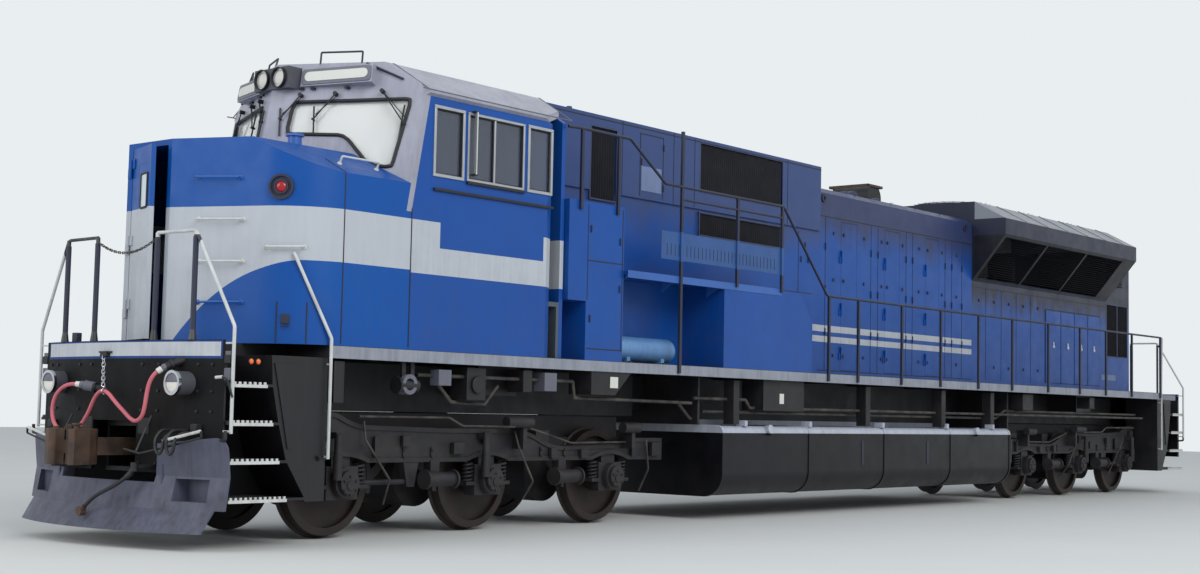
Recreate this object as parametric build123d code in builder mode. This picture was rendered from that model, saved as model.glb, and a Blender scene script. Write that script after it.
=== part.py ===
# Six-axle road diesel locomotive with a wide nose cab. All sizes are in millimetres.
# X points forward to the nose, Y to the locomotive's left side, Z up.
# Z is zero at the lowest edge of the wheel flanges, and rail is the rail top above it.
import os
from math import atan, cos, degrees, radians, sin, tan

from build123d import *

os.makedirs("parts", exist_ok=True)

# Wheels and trucks
wheel_diameter = 1067
flange_depth = 28
wheel_width = 140
back_to_back = 1353
axle_diameter = 200
journal_diameter = 160
axle_spacing = 2070
truck_centers = 15190
running_gap = 0.3
bearing_gap = 0.9
rail = flange_depth
axle_z = rail + wheel_diameter / 2
truck_x = truck_centers / 2

# Underframe
deck_z = rail + 1840
deck_plate = 20
sill_depth = 120
sill_width = 60
front_half_width = 1500
rear_half_width = 1560
well_half_width = 860
front_end_x = 11400
rear_end_x = -(front_end_x + 80)
front_well_x = front_end_x - 1130
rear_well_x = rear_end_x + 1260
end_half_width = 1390
front_bow = 170
end_plate_thickness = 40
end_plate_bottom = rail + 640
center_sill_half = 450
center_sill_bottom = deck_z - 540
center_plate_z = deck_z - 660
center_plate_radius = 300
bolster_half = 1150
bolster_bottom = deck_z - 420

# Couplers
coupler_height = rail + 860
coupler_pin_x = front_end_x - 450
coupler_face_x = front_end_x + 815
coupler_pin_radius = 45
pocket_half_width = 300
pocket_half_height = 190
opening_half_width = 340
head_half_height = 160
shank_half_height = 80

# Fuel tank
tank_front_x = truck_x - 3675
tank_rear_x = 3625 - truck_x
tank_half_width = 1500
tank_top = deck_z - 710
tank_bottom = rail + 270
tank_corner = 280
tank_top_corner = 90

# Nose and cab
nose_wall = 60
nose_front_x = front_end_x - 280
nose_side_x = nose_front_x - 950
nose_shoulder_z = deck_z + 1640
nose_top_z = deck_z + 1950
nose_top_half = 900
nose_half_width = 1500
door_sill_z = deck_z + 30
door_top_z = nose_top_z - 60
nose_door_hinge_y = -505
nose_door_width = 550
door_thickness = 45
door_gap = 5
nose_door_ajar = 18
cab_side_bottom_x = nose_front_x - 1850
cab_rear_x = cab_side_bottom_x - 2370
kink_front_x = cab_rear_x - 1000
kink_rear_x = kink_front_x - 1000
cab_side_tip_z = deck_z + 1410
cab_wall = 60
cab_floor_z = deck_z + 610
cab_floor_thickness = 50
eave_z = deck_z + 2610
eave_half = 1540
roof_z = deck_z + 2910
roof_flat_half = 1050
roof_thickness = 60
window_sill_z = deck_z + 1780
window_head_z = deck_z + 2440
glass_thickness = 12

# Windscreen wall: it sweeps back by sweep on each side and leans back by lean
windscreen_x = nose_front_x - 1250
windscreen_z = deck_z + 2490
windscreen_sweep = degrees(atan(0.49))
windscreen_lean = 9.5
windscreen_wall = 60

# Housings behind the cab
hood_half = 910
hood_wall = 40
cabinet_front_x = cab_rear_x
cabinet_rear_x = 850
cabinet_half = 930
cabinet_upper_half = 960
cabinet_ledge_z = deck_z + 2010
cabinet_top_z = deck_z + 2910
hood_top_z = deck_z + 2650
hood_front_x = cabinet_rear_x
radiator_front_x = -3800
hood_rear_x = rear_end_x + 1220
wing_rear_x = hood_rear_x + 1110
wing_half = 1500
wing_low_z = deck_z + 1660
wing_lip_z = deck_z + 2390
wing_top_z = deck_z + 2640
radiator_top_z = deck_z + 2940
fan_radius = 640
fan_opening_radius = 665
fan_end_margin = 1045
platform_z = deck_z + 1040
locker_rear_x = cab_rear_x - 990
locker_top_z = deck_z + 1760
lower_box_front_x = 4000
lower_box_rear_x = 1990
hood_door_xs = (0, -1240, -2480)
hood_door_width = 430
hood_door_bottom = rail + 1930
hood_door_top = deck_z + 2200
hinge_radius = 14
hinge_length = 90
hinge_standoff = 20
door_hinge_heights = (deck_z + 240, deck_z + 860, deck_z + 1610)


def block(x0, x1, y0, y1, z0, z1, mode=Mode.ADD):
    with Locations(((x0 + x1) / 2, (y0 + y1) / 2, (z0 + z1) / 2)):
        Box(abs(x1 - x0), abs(y1 - y0), abs(z1 - z0), mode=mode)


def slab(plane, points, depth, mode=Mode.ADD):
    # A flat plate of any outline, thickened along the plane's normal
    with BuildSketch(plane) as outline:
        with BuildLine():
            Polyline(*points, close=True)
        make_face()
    extrude(outline.sketch, amount=depth, mode=mode)


def rod(start, end, radius, mode=Mode.ADD):
    axis = Vector(*end) - Vector(*start)
    with BuildSketch(Plane(origin=start, z_dir=axis)) as section:
        Circle(radius)
    extrude(section.sketch, amount=axis.length, mode=mode)


def rail_tube(points, radius, bend):
    # A round tube along straight runs joined by bends
    with BuildLine() as path:
        if len(points) > 2:
            FilletPolyline(*points, radius=bend)
        else:
            Line(*points)
    with BuildSketch(Plane(origin=path.line @ 0, z_dir=path.line % 0)) as section:
        Circle(radius)
    sweep(section.sketch, path=path.line)


def hinge_leaf(heights, reach, leaf_side):
    # Knuckles and straps of a hinge in its own plane: x outward, y toward the free edge.
    # The strap lies on the face, hinge_standoff behind the pin. A fixed knuckle carries
    # the leaf's knuckle above it.
    for height in heights:
        low = height + (hinge_length + running_gap if leaf_side else 0)
        with Locations((0, 0, low + hinge_length / 2)):
            Cylinder(hinge_radius, hinge_length)
        far_y = reach if leaf_side else -reach
        block(-hinge_standoff, -hinge_radius / 2, 0, far_y, low, low + hinge_length)


def hinge_plane(x, y, outward_degrees):
    return Plane(origin=(x, y, 0), z_dir=(0, 0, 1),
                 x_dir=(cos(radians(outward_degrees)), sin(radians(outward_degrees)), 0))


def fixed_hinge(x, y, outward_degrees, reach):
    with BuildPart(hinge_plane(x, y, outward_degrees), mode=Mode.PRIVATE) as knuckles:
        hinge_leaf(door_hinge_heights, reach, leaf_side=False)
    return knuckles.part


def save(part, label):
    part.label = label
    export_step(part, "parts/" + label + ".step")


def save_pair(part, label):
    # What the front end carries, and the same turned about at the rear end
    save(part, label + "_front")
    save(part.rotate(Axis.Z, 180), label + "_rear")


# Underframe: a deck plate with a channel edge, a box centre sill and two bolsters
left_edge = [
    (front_end_x, well_half_width), (front_well_x, well_half_width),
    (front_well_x, front_half_width), (kink_front_x, front_half_width),
    (kink_rear_x, rear_half_width), (rear_well_x, rear_half_width),
    (rear_well_x, well_half_width), (rear_end_x, well_half_width),
]
deck_outline = left_edge + [(x, -y) for x, y in reversed(left_edge)]

with BuildPart() as underframe:
    with BuildSketch(Plane.XY.offset(deck_z - sill_depth)) as deck:
        with BuildLine():
            Polyline(*deck_outline, close=True)
        make_face()
    extrude(amount=sill_depth)
    with BuildSketch(Plane.XY.offset(deck_z - sill_depth)) as deck_inside:
        with BuildLine():
            Polyline(*deck_outline, close=True)
        make_face()
        offset(amount=-sill_width, kind=Kind.INTERSECTION)
    extrude(amount=sill_depth - deck_plate, mode=Mode.SUBTRACT)
    # Box centre sill
    block(rear_end_x, front_end_x, -center_sill_half, center_sill_half,
          center_sill_bottom, deck_z - deck_plate)
    block(rear_end_x + 400, front_end_x - 400, -center_sill_half + 40, center_sill_half - 40,
          center_sill_bottom + 40, deck_z - deck_plate - 40, mode=Mode.SUBTRACT)
    # Cross beams under the deck
    for beam_x in (-9000, -5900, -4200, -2500, -800, 900, 2600, 4300, 9300):
        block(beam_x - 40, beam_x + 40, -front_half_width + 10, front_half_width - 10,
              deck_z - sill_depth, deck_z - deck_plate)
    for end in (1, -1):
        # Bolster and its centre plate
        block(end * truck_x - 300, end * truck_x + 300, -bolster_half, bolster_half,
              bolster_bottom, deck_z - deck_plate)
        with Locations((end * truck_x, 0, (center_plate_z + bolster_bottom) / 2)):
            Cylinder(center_plate_radius, bolster_bottom - center_plate_z)
        # Draft gear pocket, open at its outer end, with the coupler's pin
        outer_x = front_end_x if end > 0 else rear_end_x
        inner_x = end * (coupler_pin_x - 300)
        block(inner_x, outer_x, -pocket_half_width - 40, pocket_half_width + 40,
              coupler_height - pocket_half_height - 40, center_sill_bottom)
        block(inner_x + end * 40, outer_x, -pocket_half_width, pocket_half_width,
              coupler_height - pocket_half_height, coupler_height + pocket_half_height,
              mode=Mode.SUBTRACT)
        with Locations((end * coupler_pin_x, 0, coupler_height)):
            Cylinder(coupler_pin_radius, 2 * pocket_half_height)
save(underframe.part, "underframe")

# End plates: the front one is bowed, both have a wide opening round the coupler
with BuildPart() as end_plates:
    bow_x = front_end_x + front_bow
    with BuildSketch(Plane.XY.offset(end_plate_bottom)):
        with BuildLine():
            ThreePointArc((front_end_x, end_half_width), (bow_x, 0), (front_end_x, -end_half_width))
            Line((front_end_x, -end_half_width), (front_end_x, end_half_width))
        make_face()
    extrude(amount=deck_z - end_plate_bottom)
    with BuildSketch(Plane.XY.offset(end_plate_bottom)):
        with BuildLine():
            back_x = front_end_x - end_plate_thickness
            ThreePointArc((back_x, end_half_width), (bow_x - end_plate_thickness, 0),
                          (back_x, -end_half_width))
            Line((back_x, -end_half_width), (back_x, end_half_width))
        make_face()
    extrude(amount=deck_z - deck_plate - end_plate_bottom, mode=Mode.SUBTRACT)
    block(rear_end_x - end_plate_thickness, rear_end_x, -end_half_width, end_half_width,
          end_plate_bottom, deck_z)
    for plate_x in (front_end_x + 60, rear_end_x):
        block(plate_x - 200, plate_x + 200, -opening_half_width, opening_half_width,
              end_plate_bottom - 10, coupler_height + 240, mode=Mode.SUBTRACT)
save(end_plates.part, "end_plates")


def plate_front_x(y):
    # Front face of the bowed end plate at a given Y
    return front_end_x + front_bow * (1 - (y / end_half_width) ** 2)


# Snow plow: a concave board, bowed in plan, with raised wings and a step pocket each side
plow_thickness = 20
plow_half = 1500
plow_bottom = rail + 130
wing_top = rail + 970
notch_half = 720
notch_z = rail + 560
pocket_y0, pocket_y1 = 960, 1320
pocket_z0, pocket_z1 = rail + 400, rail + 600
with BuildPart() as plow_space:
    # Columns: height, centre X, end X
    plow_rows = (
        (plow_bottom, front_end_x + 500, front_end_x + 160),
        (rail + 330, front_end_x + 340, front_end_x + 40),
        (rail + 620, front_end_x + 260, front_end_x),
        (wing_top + 10, front_end_x + 300, front_end_x + 40),
    )
    for row_z, row_x, row_end_x in plow_rows:
        with BuildSketch(Plane.XY.offset(row_z)):
            with BuildLine():
                ThreePointArc((row_end_x, plow_half), (row_x, 0), (row_end_x, -plow_half))
                Polyline((row_end_x, -plow_half), (front_end_x - 400, -plow_half),
                         (front_end_x - 400, plow_half), (row_end_x, plow_half))
            make_face()
    loft(ruled=True)

with BuildPart() as snow_plow:
    add(plow_space.part)
    add(plow_space.part.moved(Location((-plow_thickness, 0, 0))), mode=Mode.SUBTRACT)
    block(front_end_x - 500, front_end_x - 380, -plow_half, plow_half, 0, 1500, mode=Mode.SUBTRACT)
    for side in (1, -1):
        block(front_end_x - 10, front_end_x + 500, side * pocket_y0, side * pocket_y1,
              pocket_z0, pocket_z1, mode=Mode.SUBTRACT)
    # Front outline of the right half and its mirror
    with BuildSketch(Plane.YZ.offset(front_end_x - 400)):
        with BuildLine():
            Polyline((0, notch_z), (notch_half, notch_z), (notch_half + 40, wing_top - 65),
                     (plow_half - 110, wing_top))
            RadiusArc((plow_half - 110, wing_top), (plow_half, wing_top - 110), 110)
            Polyline((plow_half, wing_top - 110), (plow_half, rail + 330),
                     (plow_half - 100, rail + 330), (plow_half - 115, plow_bottom), (0, plow_bottom),
                     (0, notch_z))
        make_face()
        mirror(about=Plane.YZ)
    extrude(amount=1200, mode=Mode.INTERSECT)
    # Boxes of the step pockets, open at the front
    with BuildPart(mode=Mode.PRIVATE) as pocket_walls:
        for side in (1, -1):
            block(front_end_x + 10, front_end_x + 400, side * (pocket_y0 - 10), side * (pocket_y1 + 10),
                  pocket_z0 - 10, pocket_z1 + 10)
            block(front_end_x + 20, front_end_x + 500, side * pocket_y0, side * pocket_y1,
                  pocket_z0, pocket_z1, mode=Mode.SUBTRACT)
        add(plow_space.part, mode=Mode.INTERSECT)
    add(pocket_walls.part)
    # Brackets back to the end plate
    for side in (1, -1):
        block(front_end_x + 40, front_end_x + 205, side * 800 - 15, side * 800 + 15,
              notch_z - 20, rail + 720)
    add(end_plates.part, mode=Mode.SUBTRACT)
save(snow_plow.part, "snow_plow")

# Step wells at the four corners: treads that widen downward beside a tapered box
tread_count = 4
lowest_tread = rail + 430
highest_tread = deck_z - 385
tread_rise = (highest_tread - lowest_tread) / (tread_count - 1)
step_heights = [lowest_tread + number * tread_rise for number in range(tread_count)]
tread_thickness = 25
step_outer_y = 1470
with BuildPart() as step_wells:
    for well_x, plate_x in ((front_well_x, front_end_x), (rear_well_x, rear_end_x)):
        toward_end = 1 if plate_x > well_x else -1
        plate_back_x = plate_x - toward_end * 20
        for side in (1, -1):
            back_y = side * well_half_width
            # Tapered box between the truck and the treads: distance from the well's edge, height
            box_outline = [(0, step_heights[0] - 40), (230, step_heights[0] - 40), (240, step_heights[0]),
                           (470, step_heights[1]), (570, step_heights[2]), (650, step_heights[3]),
                           (670, deck_z - sill_depth), (0, deck_z - sill_depth)]
            slab(Plane.XZ.offset(-back_y),
                 [(well_x + toward_end * reach, z) for reach, z in box_outline],
                 -side * (step_outer_y - well_half_width))
            # Raised tapered panel on the face of the box
            panel_outline = [(640, deck_z - 190), (290, deck_z - 190), (400, step_heights[1] + 100),
                             (460, step_heights[1] + 100)]
            slab(Plane.XZ.offset(-side * step_outer_y),
                 [(well_x + toward_end * reach, z) for reach, z in panel_outline], -side * 12)
            if toward_end < 0:
                block(well_x, well_x - 20, back_y, side * step_outer_y, deck_z - sill_depth, deck_z)
            block(well_x, plate_x, back_y, back_y + side * 15, step_heights[0] - 40,
                  deck_z - sill_depth)
            block(plate_back_x, plate_x, back_y, side * end_half_width, end_plate_bottom,
                  deck_z - sill_depth)
            for height in step_heights:
                block(well_x + toward_end * 20, plate_back_x, back_y, side * step_outer_y,
                      height - tread_thickness, height)
save(step_wells.part, "step_wells")


def sill_y(x):
    # Half width of the deck edge at a given X, with its kink
    share = min(max((kink_front_x - x) / (kink_front_x - kink_rear_x), 0), 1)
    return front_half_width + share * (rear_half_width - front_half_width)


# Side handrails: stanchions on the sill with one long rail, raised on the left platform
rail_radius = 17
post_depth = 30
stanchion_xs = (1600, 840, -360, -1520, -2730, -3890, -5220, -6480, -7580, -8740, rear_well_x + 120)
right_stanchion_xs = (2800, 4000, cab_rear_x - 1600, cab_rear_x - 150)
rail_z = deck_z + 1030
high_rail_z = deck_z + 2110
locker_rail_z = deck_z + 2560
with BuildPart() as side_handrails:
    left_y = rear_half_width + rail_radius
    rail_tube([(cab_rear_x, front_half_width - 25, locker_rail_z),
               (cab_rear_x - 150, front_half_width + rail_radius, locker_rail_z),
               (cab_rear_x - 1050, front_half_width + rail_radius, locker_rail_z),
               (kink_rear_x + 350, left_y, high_rail_z), (2730, left_y, high_rail_z),
               (1650, left_y, rail_z), (rear_well_x + 100, left_y, rail_z)], rail_radius, 90)
    rail_tube([(cab_rear_x - 130, -front_half_width - rail_radius, rail_z),
               (cab_rear_x - 1300, -front_half_width - rail_radius - 18, rail_z),
               (kink_rear_x, -left_y, rail_z), (rear_well_x + 100, -left_y, rail_z)], rail_radius, 90)
    # Second rail of the raised platform
    rail_tube([(kink_rear_x, left_y, high_rail_z - 150), (2760, left_y, high_rail_z - 150)], 14, 90)
    # Columns: X, side, foot height, top height
    posts = [(x, side, deck_z - 100, rail_z) for x in stanchion_xs for side in (1, -1)]
    posts += [(x, -1, deck_z - 100, rail_z) for x in right_stanchion_xs]
    posts += [(x, 1, platform_z - 40, high_rail_z) for x in (2760, 3760)]
    posts += [(kink_rear_x + 20, 1, deck_z - 100, deck_z + 2770)]
    posts += [(x, 1, locker_top_z - 100, locker_rail_z) for x in (cab_rear_x - 850, cab_rear_x - 200)]
    for post_x, side, foot_z, post_top in posts:
        edge_y = sill_y(post_x - 20)
        block(post_x - 20, post_x + 20, side * edge_y, side * (edge_y + post_depth), foot_z, post_top)
    # Guard plate along the platform
    block(2760, kink_rear_x + 400, rear_half_width, rear_half_width + 8, deck_z + 1230, deck_z + 1560)
save(side_handrails.part, "side_handrails")

# Fuel tank: rounded corners, end rims and seam bands, hung from the centre sill
with BuildPart() as fuel_tank:
    with BuildSketch(Plane.YZ.offset(tank_rear_x)) as tank_section:
        with BuildLine():
            corner_y = tank_half_width - tank_corner
            top_y = tank_half_width - tank_top_corner
            Line((-top_y, tank_top), (top_y, tank_top))
            RadiusArc((top_y, tank_top), (tank_half_width, tank_top - tank_top_corner), tank_top_corner)
            Line((tank_half_width, tank_top - tank_top_corner), (tank_half_width, tank_bottom + tank_corner))
            RadiusArc((tank_half_width, tank_bottom + tank_corner), (corner_y, tank_bottom), tank_corner)
            Line((corner_y, tank_bottom), (-corner_y, tank_bottom))
            RadiusArc((-corner_y, tank_bottom), (-tank_half_width, tank_bottom + tank_corner), tank_corner)
            Line((-tank_half_width, tank_bottom + tank_corner),
                 (-tank_half_width, tank_top - tank_top_corner))
            RadiusArc((-tank_half_width, tank_top - tank_top_corner), (-top_y, tank_top), tank_top_corner)
        make_face()
    extrude(amount=tank_front_x - tank_rear_x)
    # Rims and bands stand out from the shell
    band_width, band_height = 40, 10
    band_count = 5
    for number in range(band_count):
        share = number / (band_count - 1)
        with BuildSketch(Plane.YZ.offset(tank_rear_x + share * (tank_front_x - tank_rear_x - band_width))):
            add(tank_section.sketch_local)
            offset(amount=band_height)
        extrude(amount=band_width)
    block(tank_rear_x + 300, tank_front_x - 300, -center_sill_half, center_sill_half,
          tank_top, center_sill_bottom)
save(fuel_tank.part, "fuel_tank")

# Main air reservoir lying on two saddles on the deck
reservoir_radius = 145
reservoir_y = 1240
reservoir_z = deck_z + 20 + reservoir_radius
head_depth = 95
with BuildPart() as air_reservoir:
    reservoir_end_x = locker_rear_x - 1130
    rod((reservoir_end_x - head_depth, reservoir_y, reservoir_z),
        (locker_rear_x - 10, reservoir_y, reservoir_z), reservoir_radius)
    fillet(air_reservoir.edges().filter_by(GeomType.CIRCLE).sort_by(Axis.X)[0], head_depth)
    for saddle_x in (reservoir_end_x + 170, reservoir_end_x + 820):
        block(saddle_x - 30, saddle_x + 30, reservoir_y - 110, reservoir_y + 110, deck_z,
              reservoir_z - 60)
save(air_reservoir.part, "air_reservoir")

# Equipment boxes that hang under the side sills, and an air filter below the cab
filter_x, filter_radius = cab_side_bottom_x - 220, 65
with BuildPart() as sill_boxes:
    hung_top = deck_z - sill_depth
    for side in (1, -1):
        block(2050, 3000, side * 1150, side * 1480, rail + 1330, hung_top)
        slab(Plane.XZ.offset(-side * 1480),
             [(cab_rear_x - 480, hung_top), (cab_rear_x - 480, rail + 1460), (cab_rear_x - 905, rail + 1460),
              (cab_rear_x - 1190, hung_top)], side * 330)
        filter_z = hung_top - 230
        rod((filter_x, side * 1400, filter_z), (filter_x + 250, side * 1400, filter_z), filter_radius)
        rod((filter_x + 250, side * 1400, filter_z), (filter_x + 275, side * 1400, filter_z),
            filter_radius + 18)
        block(filter_x + 40, filter_x + 90, side * 1385, side * 1415, filter_z + 20, hung_top)
        block(filter_x + 160, filter_x + 210, side * 1385, side * 1415, filter_z + 20, hung_top)
save(sill_boxes.part, "sill_boxes")


def windscreen_plane():
    # The outer face of the left half of the windscreen wall, origin on the centre line
    sweep_angle, lean = radians(windscreen_sweep), radians(windscreen_lean)
    return Plane(
        origin=(windscreen_x, 0, windscreen_z),
        x_dir=(-sin(sweep_angle), cos(sweep_angle), 0),
        z_dir=(cos(sweep_angle) * cos(lean), sin(sweep_angle) * cos(lean), sin(lean)),
    )


def on_windscreen(y, z):
    # Place on the windscreen wall, in its own plane, of a point given by its Y and Z
    sweep_angle, lean = radians(windscreen_sweep), radians(windscreen_lean)
    up_slope = (z - windscreen_z) / cos(lean)
    return ((y + up_slope * sin(sweep_angle) * sin(lean)) / cos(sweep_angle), up_slope)


roof_under_eave = eave_z - roof_thickness
roof_under_flat = roof_z - roof_thickness
wall_bottom_z = deck_z + 1360

# Everything behind the outer face of the windscreen wall, left half and its mirror
with BuildPart() as behind_screen:
    slab(windscreen_plane(), [(-400, -3500), (2500, -3500), (2500, 900), (-400, 900)], -4500)
    block(windscreen_x - 6000, windscreen_x + 2200, -1600, 0, 0, 7000, mode=Mode.SUBTRACT)
    mirror(about=Plane.XZ)

# Cab front: two swept plates that meet on the centre line, each with a large window
window_corners = [(240, deck_z + 2500), (1370, deck_z + 2510), (1290, deck_z + 1800),
                  (1060, deck_z + 1840), (790, deck_z + 2145), (220, deck_z + 2170)]
with BuildPart() as windscreen_hole:
    with BuildSketch(windscreen_plane().offset(20)) as pane:
        with BuildLine():
            Polyline(*[on_windscreen(y, z) for y, z in window_corners], close=True)
        make_face()
        fillet(pane.vertices(), 70)
    extrude(amount=-windscreen_wall - 60)

with BuildPart() as cab_front:
    slab(windscreen_plane(),
         [on_windscreen(-300, wall_bottom_z), on_windscreen(1700, wall_bottom_z),
          on_windscreen(1700, roof_z + 50), on_windscreen(-300, roof_z + 50)],
         -windscreen_wall)
    block(windscreen_x - 1800, windscreen_x + 1200, -500, 0, wall_bottom_z - 100, roof_z + 500,
          mode=Mode.SUBTRACT)
    # Trim to the body side, the nose and the underside of the roof
    with BuildSketch(Plane.YZ.offset(windscreen_x - 1800)) as front_section:
        with BuildLine():
            Polyline((0, wall_bottom_z), (nose_half_width, wall_bottom_z),
                     (nose_half_width, roof_under_eave), (roof_flat_half, roof_under_flat),
                     (0, roof_under_flat), close=True)
        make_face()
    extrude(front_section.sketch, amount=3000, mode=Mode.INTERSECT)
    add(windscreen_hole.part, mode=Mode.SUBTRACT)
    mirror(about=Plane.XZ)
save(cab_front.part, "cab_front")

# Window glass: the two windscreens and three panes in each cab side
# Distances of each pane's ends behind the front edge of the cab side
side_window_xs = [(cab_side_bottom_x - rear, cab_side_bottom_x - front)
                  for rear, front in ((680, 300), (1600, 780), (2050, 1710))]
with BuildPart() as cab_windows:
    with BuildSketch(windscreen_plane().offset(-24)) as pane:
        with BuildLine():
            Polyline(*[on_windscreen(y, z) for y, z in window_corners], close=True)
        make_face()
        fillet(pane.vertices(), 70)
    extrude(amount=-glass_thickness)
    for window_rear, window_front in side_window_xs:
        pane_y = nose_half_width - cab_wall / 2
        block(window_rear, window_front, pane_y - glass_thickness / 2, pane_y + glass_thickness / 2,
              window_sill_z, window_head_z)
    mirror(about=Plane.XZ)
save(cab_windows.part, "cab_windows")

# Cab sides
with BuildPart() as cab_sides:
    slab(Plane.XZ.offset(-nose_half_width),
         [(cab_rear_x, deck_z), (cab_side_bottom_x, deck_z), (cab_side_bottom_x, cab_side_tip_z),
          (cab_side_bottom_x, roof_under_eave), (cab_rear_x, roof_under_eave)], cab_wall)
    for window_rear, window_front in side_window_xs:
        block(window_rear, window_front, nose_half_width - cab_wall - 10, nose_half_width + 10,
              window_sill_z, window_head_z, mode=Mode.SUBTRACT)
    mirror(about=Plane.XZ)
    add(behind_screen.part, mode=Mode.INTERSECT)
    add(cab_front.part, mode=Mode.SUBTRACT)
save(cab_sides.part, "cab_sides")

# Cab roof: a folded sheet with sloping sides, pointed in plan like the wall below it
with BuildPart() as cab_roof:
    slab(Plane.YZ.offset(cab_rear_x),
         [(-eave_half, eave_z - roof_thickness + 25), (-eave_half, eave_z), (-roof_flat_half, roof_z),
          (roof_flat_half, roof_z), (eave_half, eave_z), (eave_half, eave_z - roof_thickness + 25),
          (nose_half_width, roof_under_eave), (roof_flat_half, roof_under_flat),
          (-roof_flat_half, roof_under_flat), (-nose_half_width, roof_under_eave)], 3400)
    add(behind_screen.part, mode=Mode.INTERSECT)
save(cab_roof.part, "cab_roof")

# Cab rear wall with the doorway to the right-hand walkway
rear_door_y0 = -1430
rear_door_y1 = -980
rear_door_bottom = deck_z + 40
rear_door_top = deck_z + 1960
with BuildPart() as cab_rear_wall:
    inner_half = nose_half_width - cab_wall
    slab(Plane.YZ.offset(cab_rear_x),
         [(-inner_half, deck_z), (-inner_half, roof_under_eave + 38), (-roof_flat_half, roof_under_flat),
          (roof_flat_half, roof_under_flat), (inner_half, roof_under_eave + 38), (inner_half, deck_z)],
         cab_wall)
    block(cab_rear_x - 10, cab_rear_x + cab_wall + 10, rear_door_y0 - door_gap,
          rear_door_y1 + door_gap, rear_door_bottom - door_gap, rear_door_top + door_gap,
          mode=Mode.SUBTRACT)
    add(fixed_hinge(cab_rear_x - hinge_standoff, rear_door_y1 + door_gap, 180, 38))
save(cab_rear_wall.part, "cab_rear_wall")

# Cab floor with its front riser and a stairwell by the rear door
with BuildPart() as cab_floor:
    inner_half = nose_half_width - cab_wall
    floor_rear = cab_rear_x + cab_wall
    floor_front = cab_side_bottom_x - 70
    stair_front = cab_rear_x + 800
    block(floor_rear, floor_front, -inner_half, inner_half, cab_floor_z - cab_floor_thickness, cab_floor_z)
    block(floor_rear, stair_front, -inner_half, -920, cab_floor_z - 100, cab_floor_z + 10,
          mode=Mode.SUBTRACT)
    block(floor_front - 50, floor_front, -inner_half, inner_half, deck_z, cab_floor_z)
    block(floor_rear, floor_rear + 40, -920, inner_half, deck_z, cab_floor_z)
    block(stair_front - 300, stair_front, -inner_half, -920, deck_z, deck_z + 290)
save(cab_floor.part, "cab_floor")

# Two seats on pedestals
with BuildPart() as cab_seats:
    seat_back_x = cab_side_bottom_x - 1370
    seat_length, seat_half, seat_height, back_height = 480, 240, 540, 1150
    pedestal_radius, pedestal_height = 60, 420
    for seat_y in (850, -700):
        block(seat_back_x + 100, seat_back_x + 100 + seat_length, seat_y - seat_half,
              seat_y + seat_half, cab_floor_z + pedestal_height, cab_floor_z + seat_height)
        slab(Plane.XZ.offset(-seat_y - seat_half),
             [(seat_back_x + 20, cab_floor_z + 500), (seat_back_x + 130, cab_floor_z + 500),
              (seat_back_x + 80, cab_floor_z + back_height), (seat_back_x - 10, cab_floor_z + back_height)],
             2 * seat_half)
        with Locations((seat_back_x + 330, seat_y, cab_floor_z + pedestal_height / 2)):
            Cylinder(pedestal_radius, pedestal_height)
save(cab_seats.part, "cab_seats")

# Control desks in front of the seats
with BuildPart() as control_desks:
    desk_x, desk_top = cab_side_bottom_x - 620, cab_floor_z + 1020
    for desk_y0, desk_y1 in ((450, 1400), (-1400, -400)):
        slab(Plane.XZ.offset(-desk_y1),
             [(desk_x + 100, cab_floor_z), (desk_x + 500, cab_floor_z), (desk_x + 500, desk_top),
              (desk_x + 330, desk_top), (desk_x, desk_top - 220), (desk_x, desk_top - 280)],
             desk_y1 - desk_y0)
save(control_desks.part, "control_desks")


def nose_plan(inset):
    # Outline seen from above: bulging corners and a flat front with the door in it
    rear_x = cab_side_bottom_x - 400
    corner_x, bulge_y = nose_side_x + 580, nose_half_width - 180
    with BuildSketch(Plane.XY.offset(deck_z)) as plan:
        with BuildLine():
            Polyline((rear_x, -nose_half_width), (rear_x, nose_half_width),
                     (nose_side_x, nose_half_width))
            ThreePointArc((nose_side_x, nose_half_width), (nose_side_x + 360, bulge_y), (corner_x, 1000))
            Polyline((corner_x, 1000), (nose_front_x, 110), (nose_front_x, -580), (corner_x, -1000))
            ThreePointArc((corner_x, -1000), (nose_side_x + 360, -bulge_y),
                          (nose_side_x, -nose_half_width))
            Line((nose_side_x, -nose_half_width), (rear_x, -nose_half_width))
        make_face()
        if inset:
            offset(amount=-inset, kind=Kind.INTERSECTION)
    return plan.sketch


def nose_section(inset):
    # Outline seen from the front: straight sides, sloping shoulders, flat top
    half, shoulder = nose_half_width - inset, nose_shoulder_z - inset * 0.7
    with BuildSketch(Plane.YZ.offset(cab_side_bottom_x - 1270)) as section:
        with BuildLine():
            Polyline((-half, deck_z - inset), (-half, shoulder),
                     (-nose_top_half, nose_top_z - inset), (nose_top_half, nose_top_z - inset),
                     (half, shoulder), (half, deck_z - inset), close=True)
        make_face()
    return section.sketch


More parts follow.
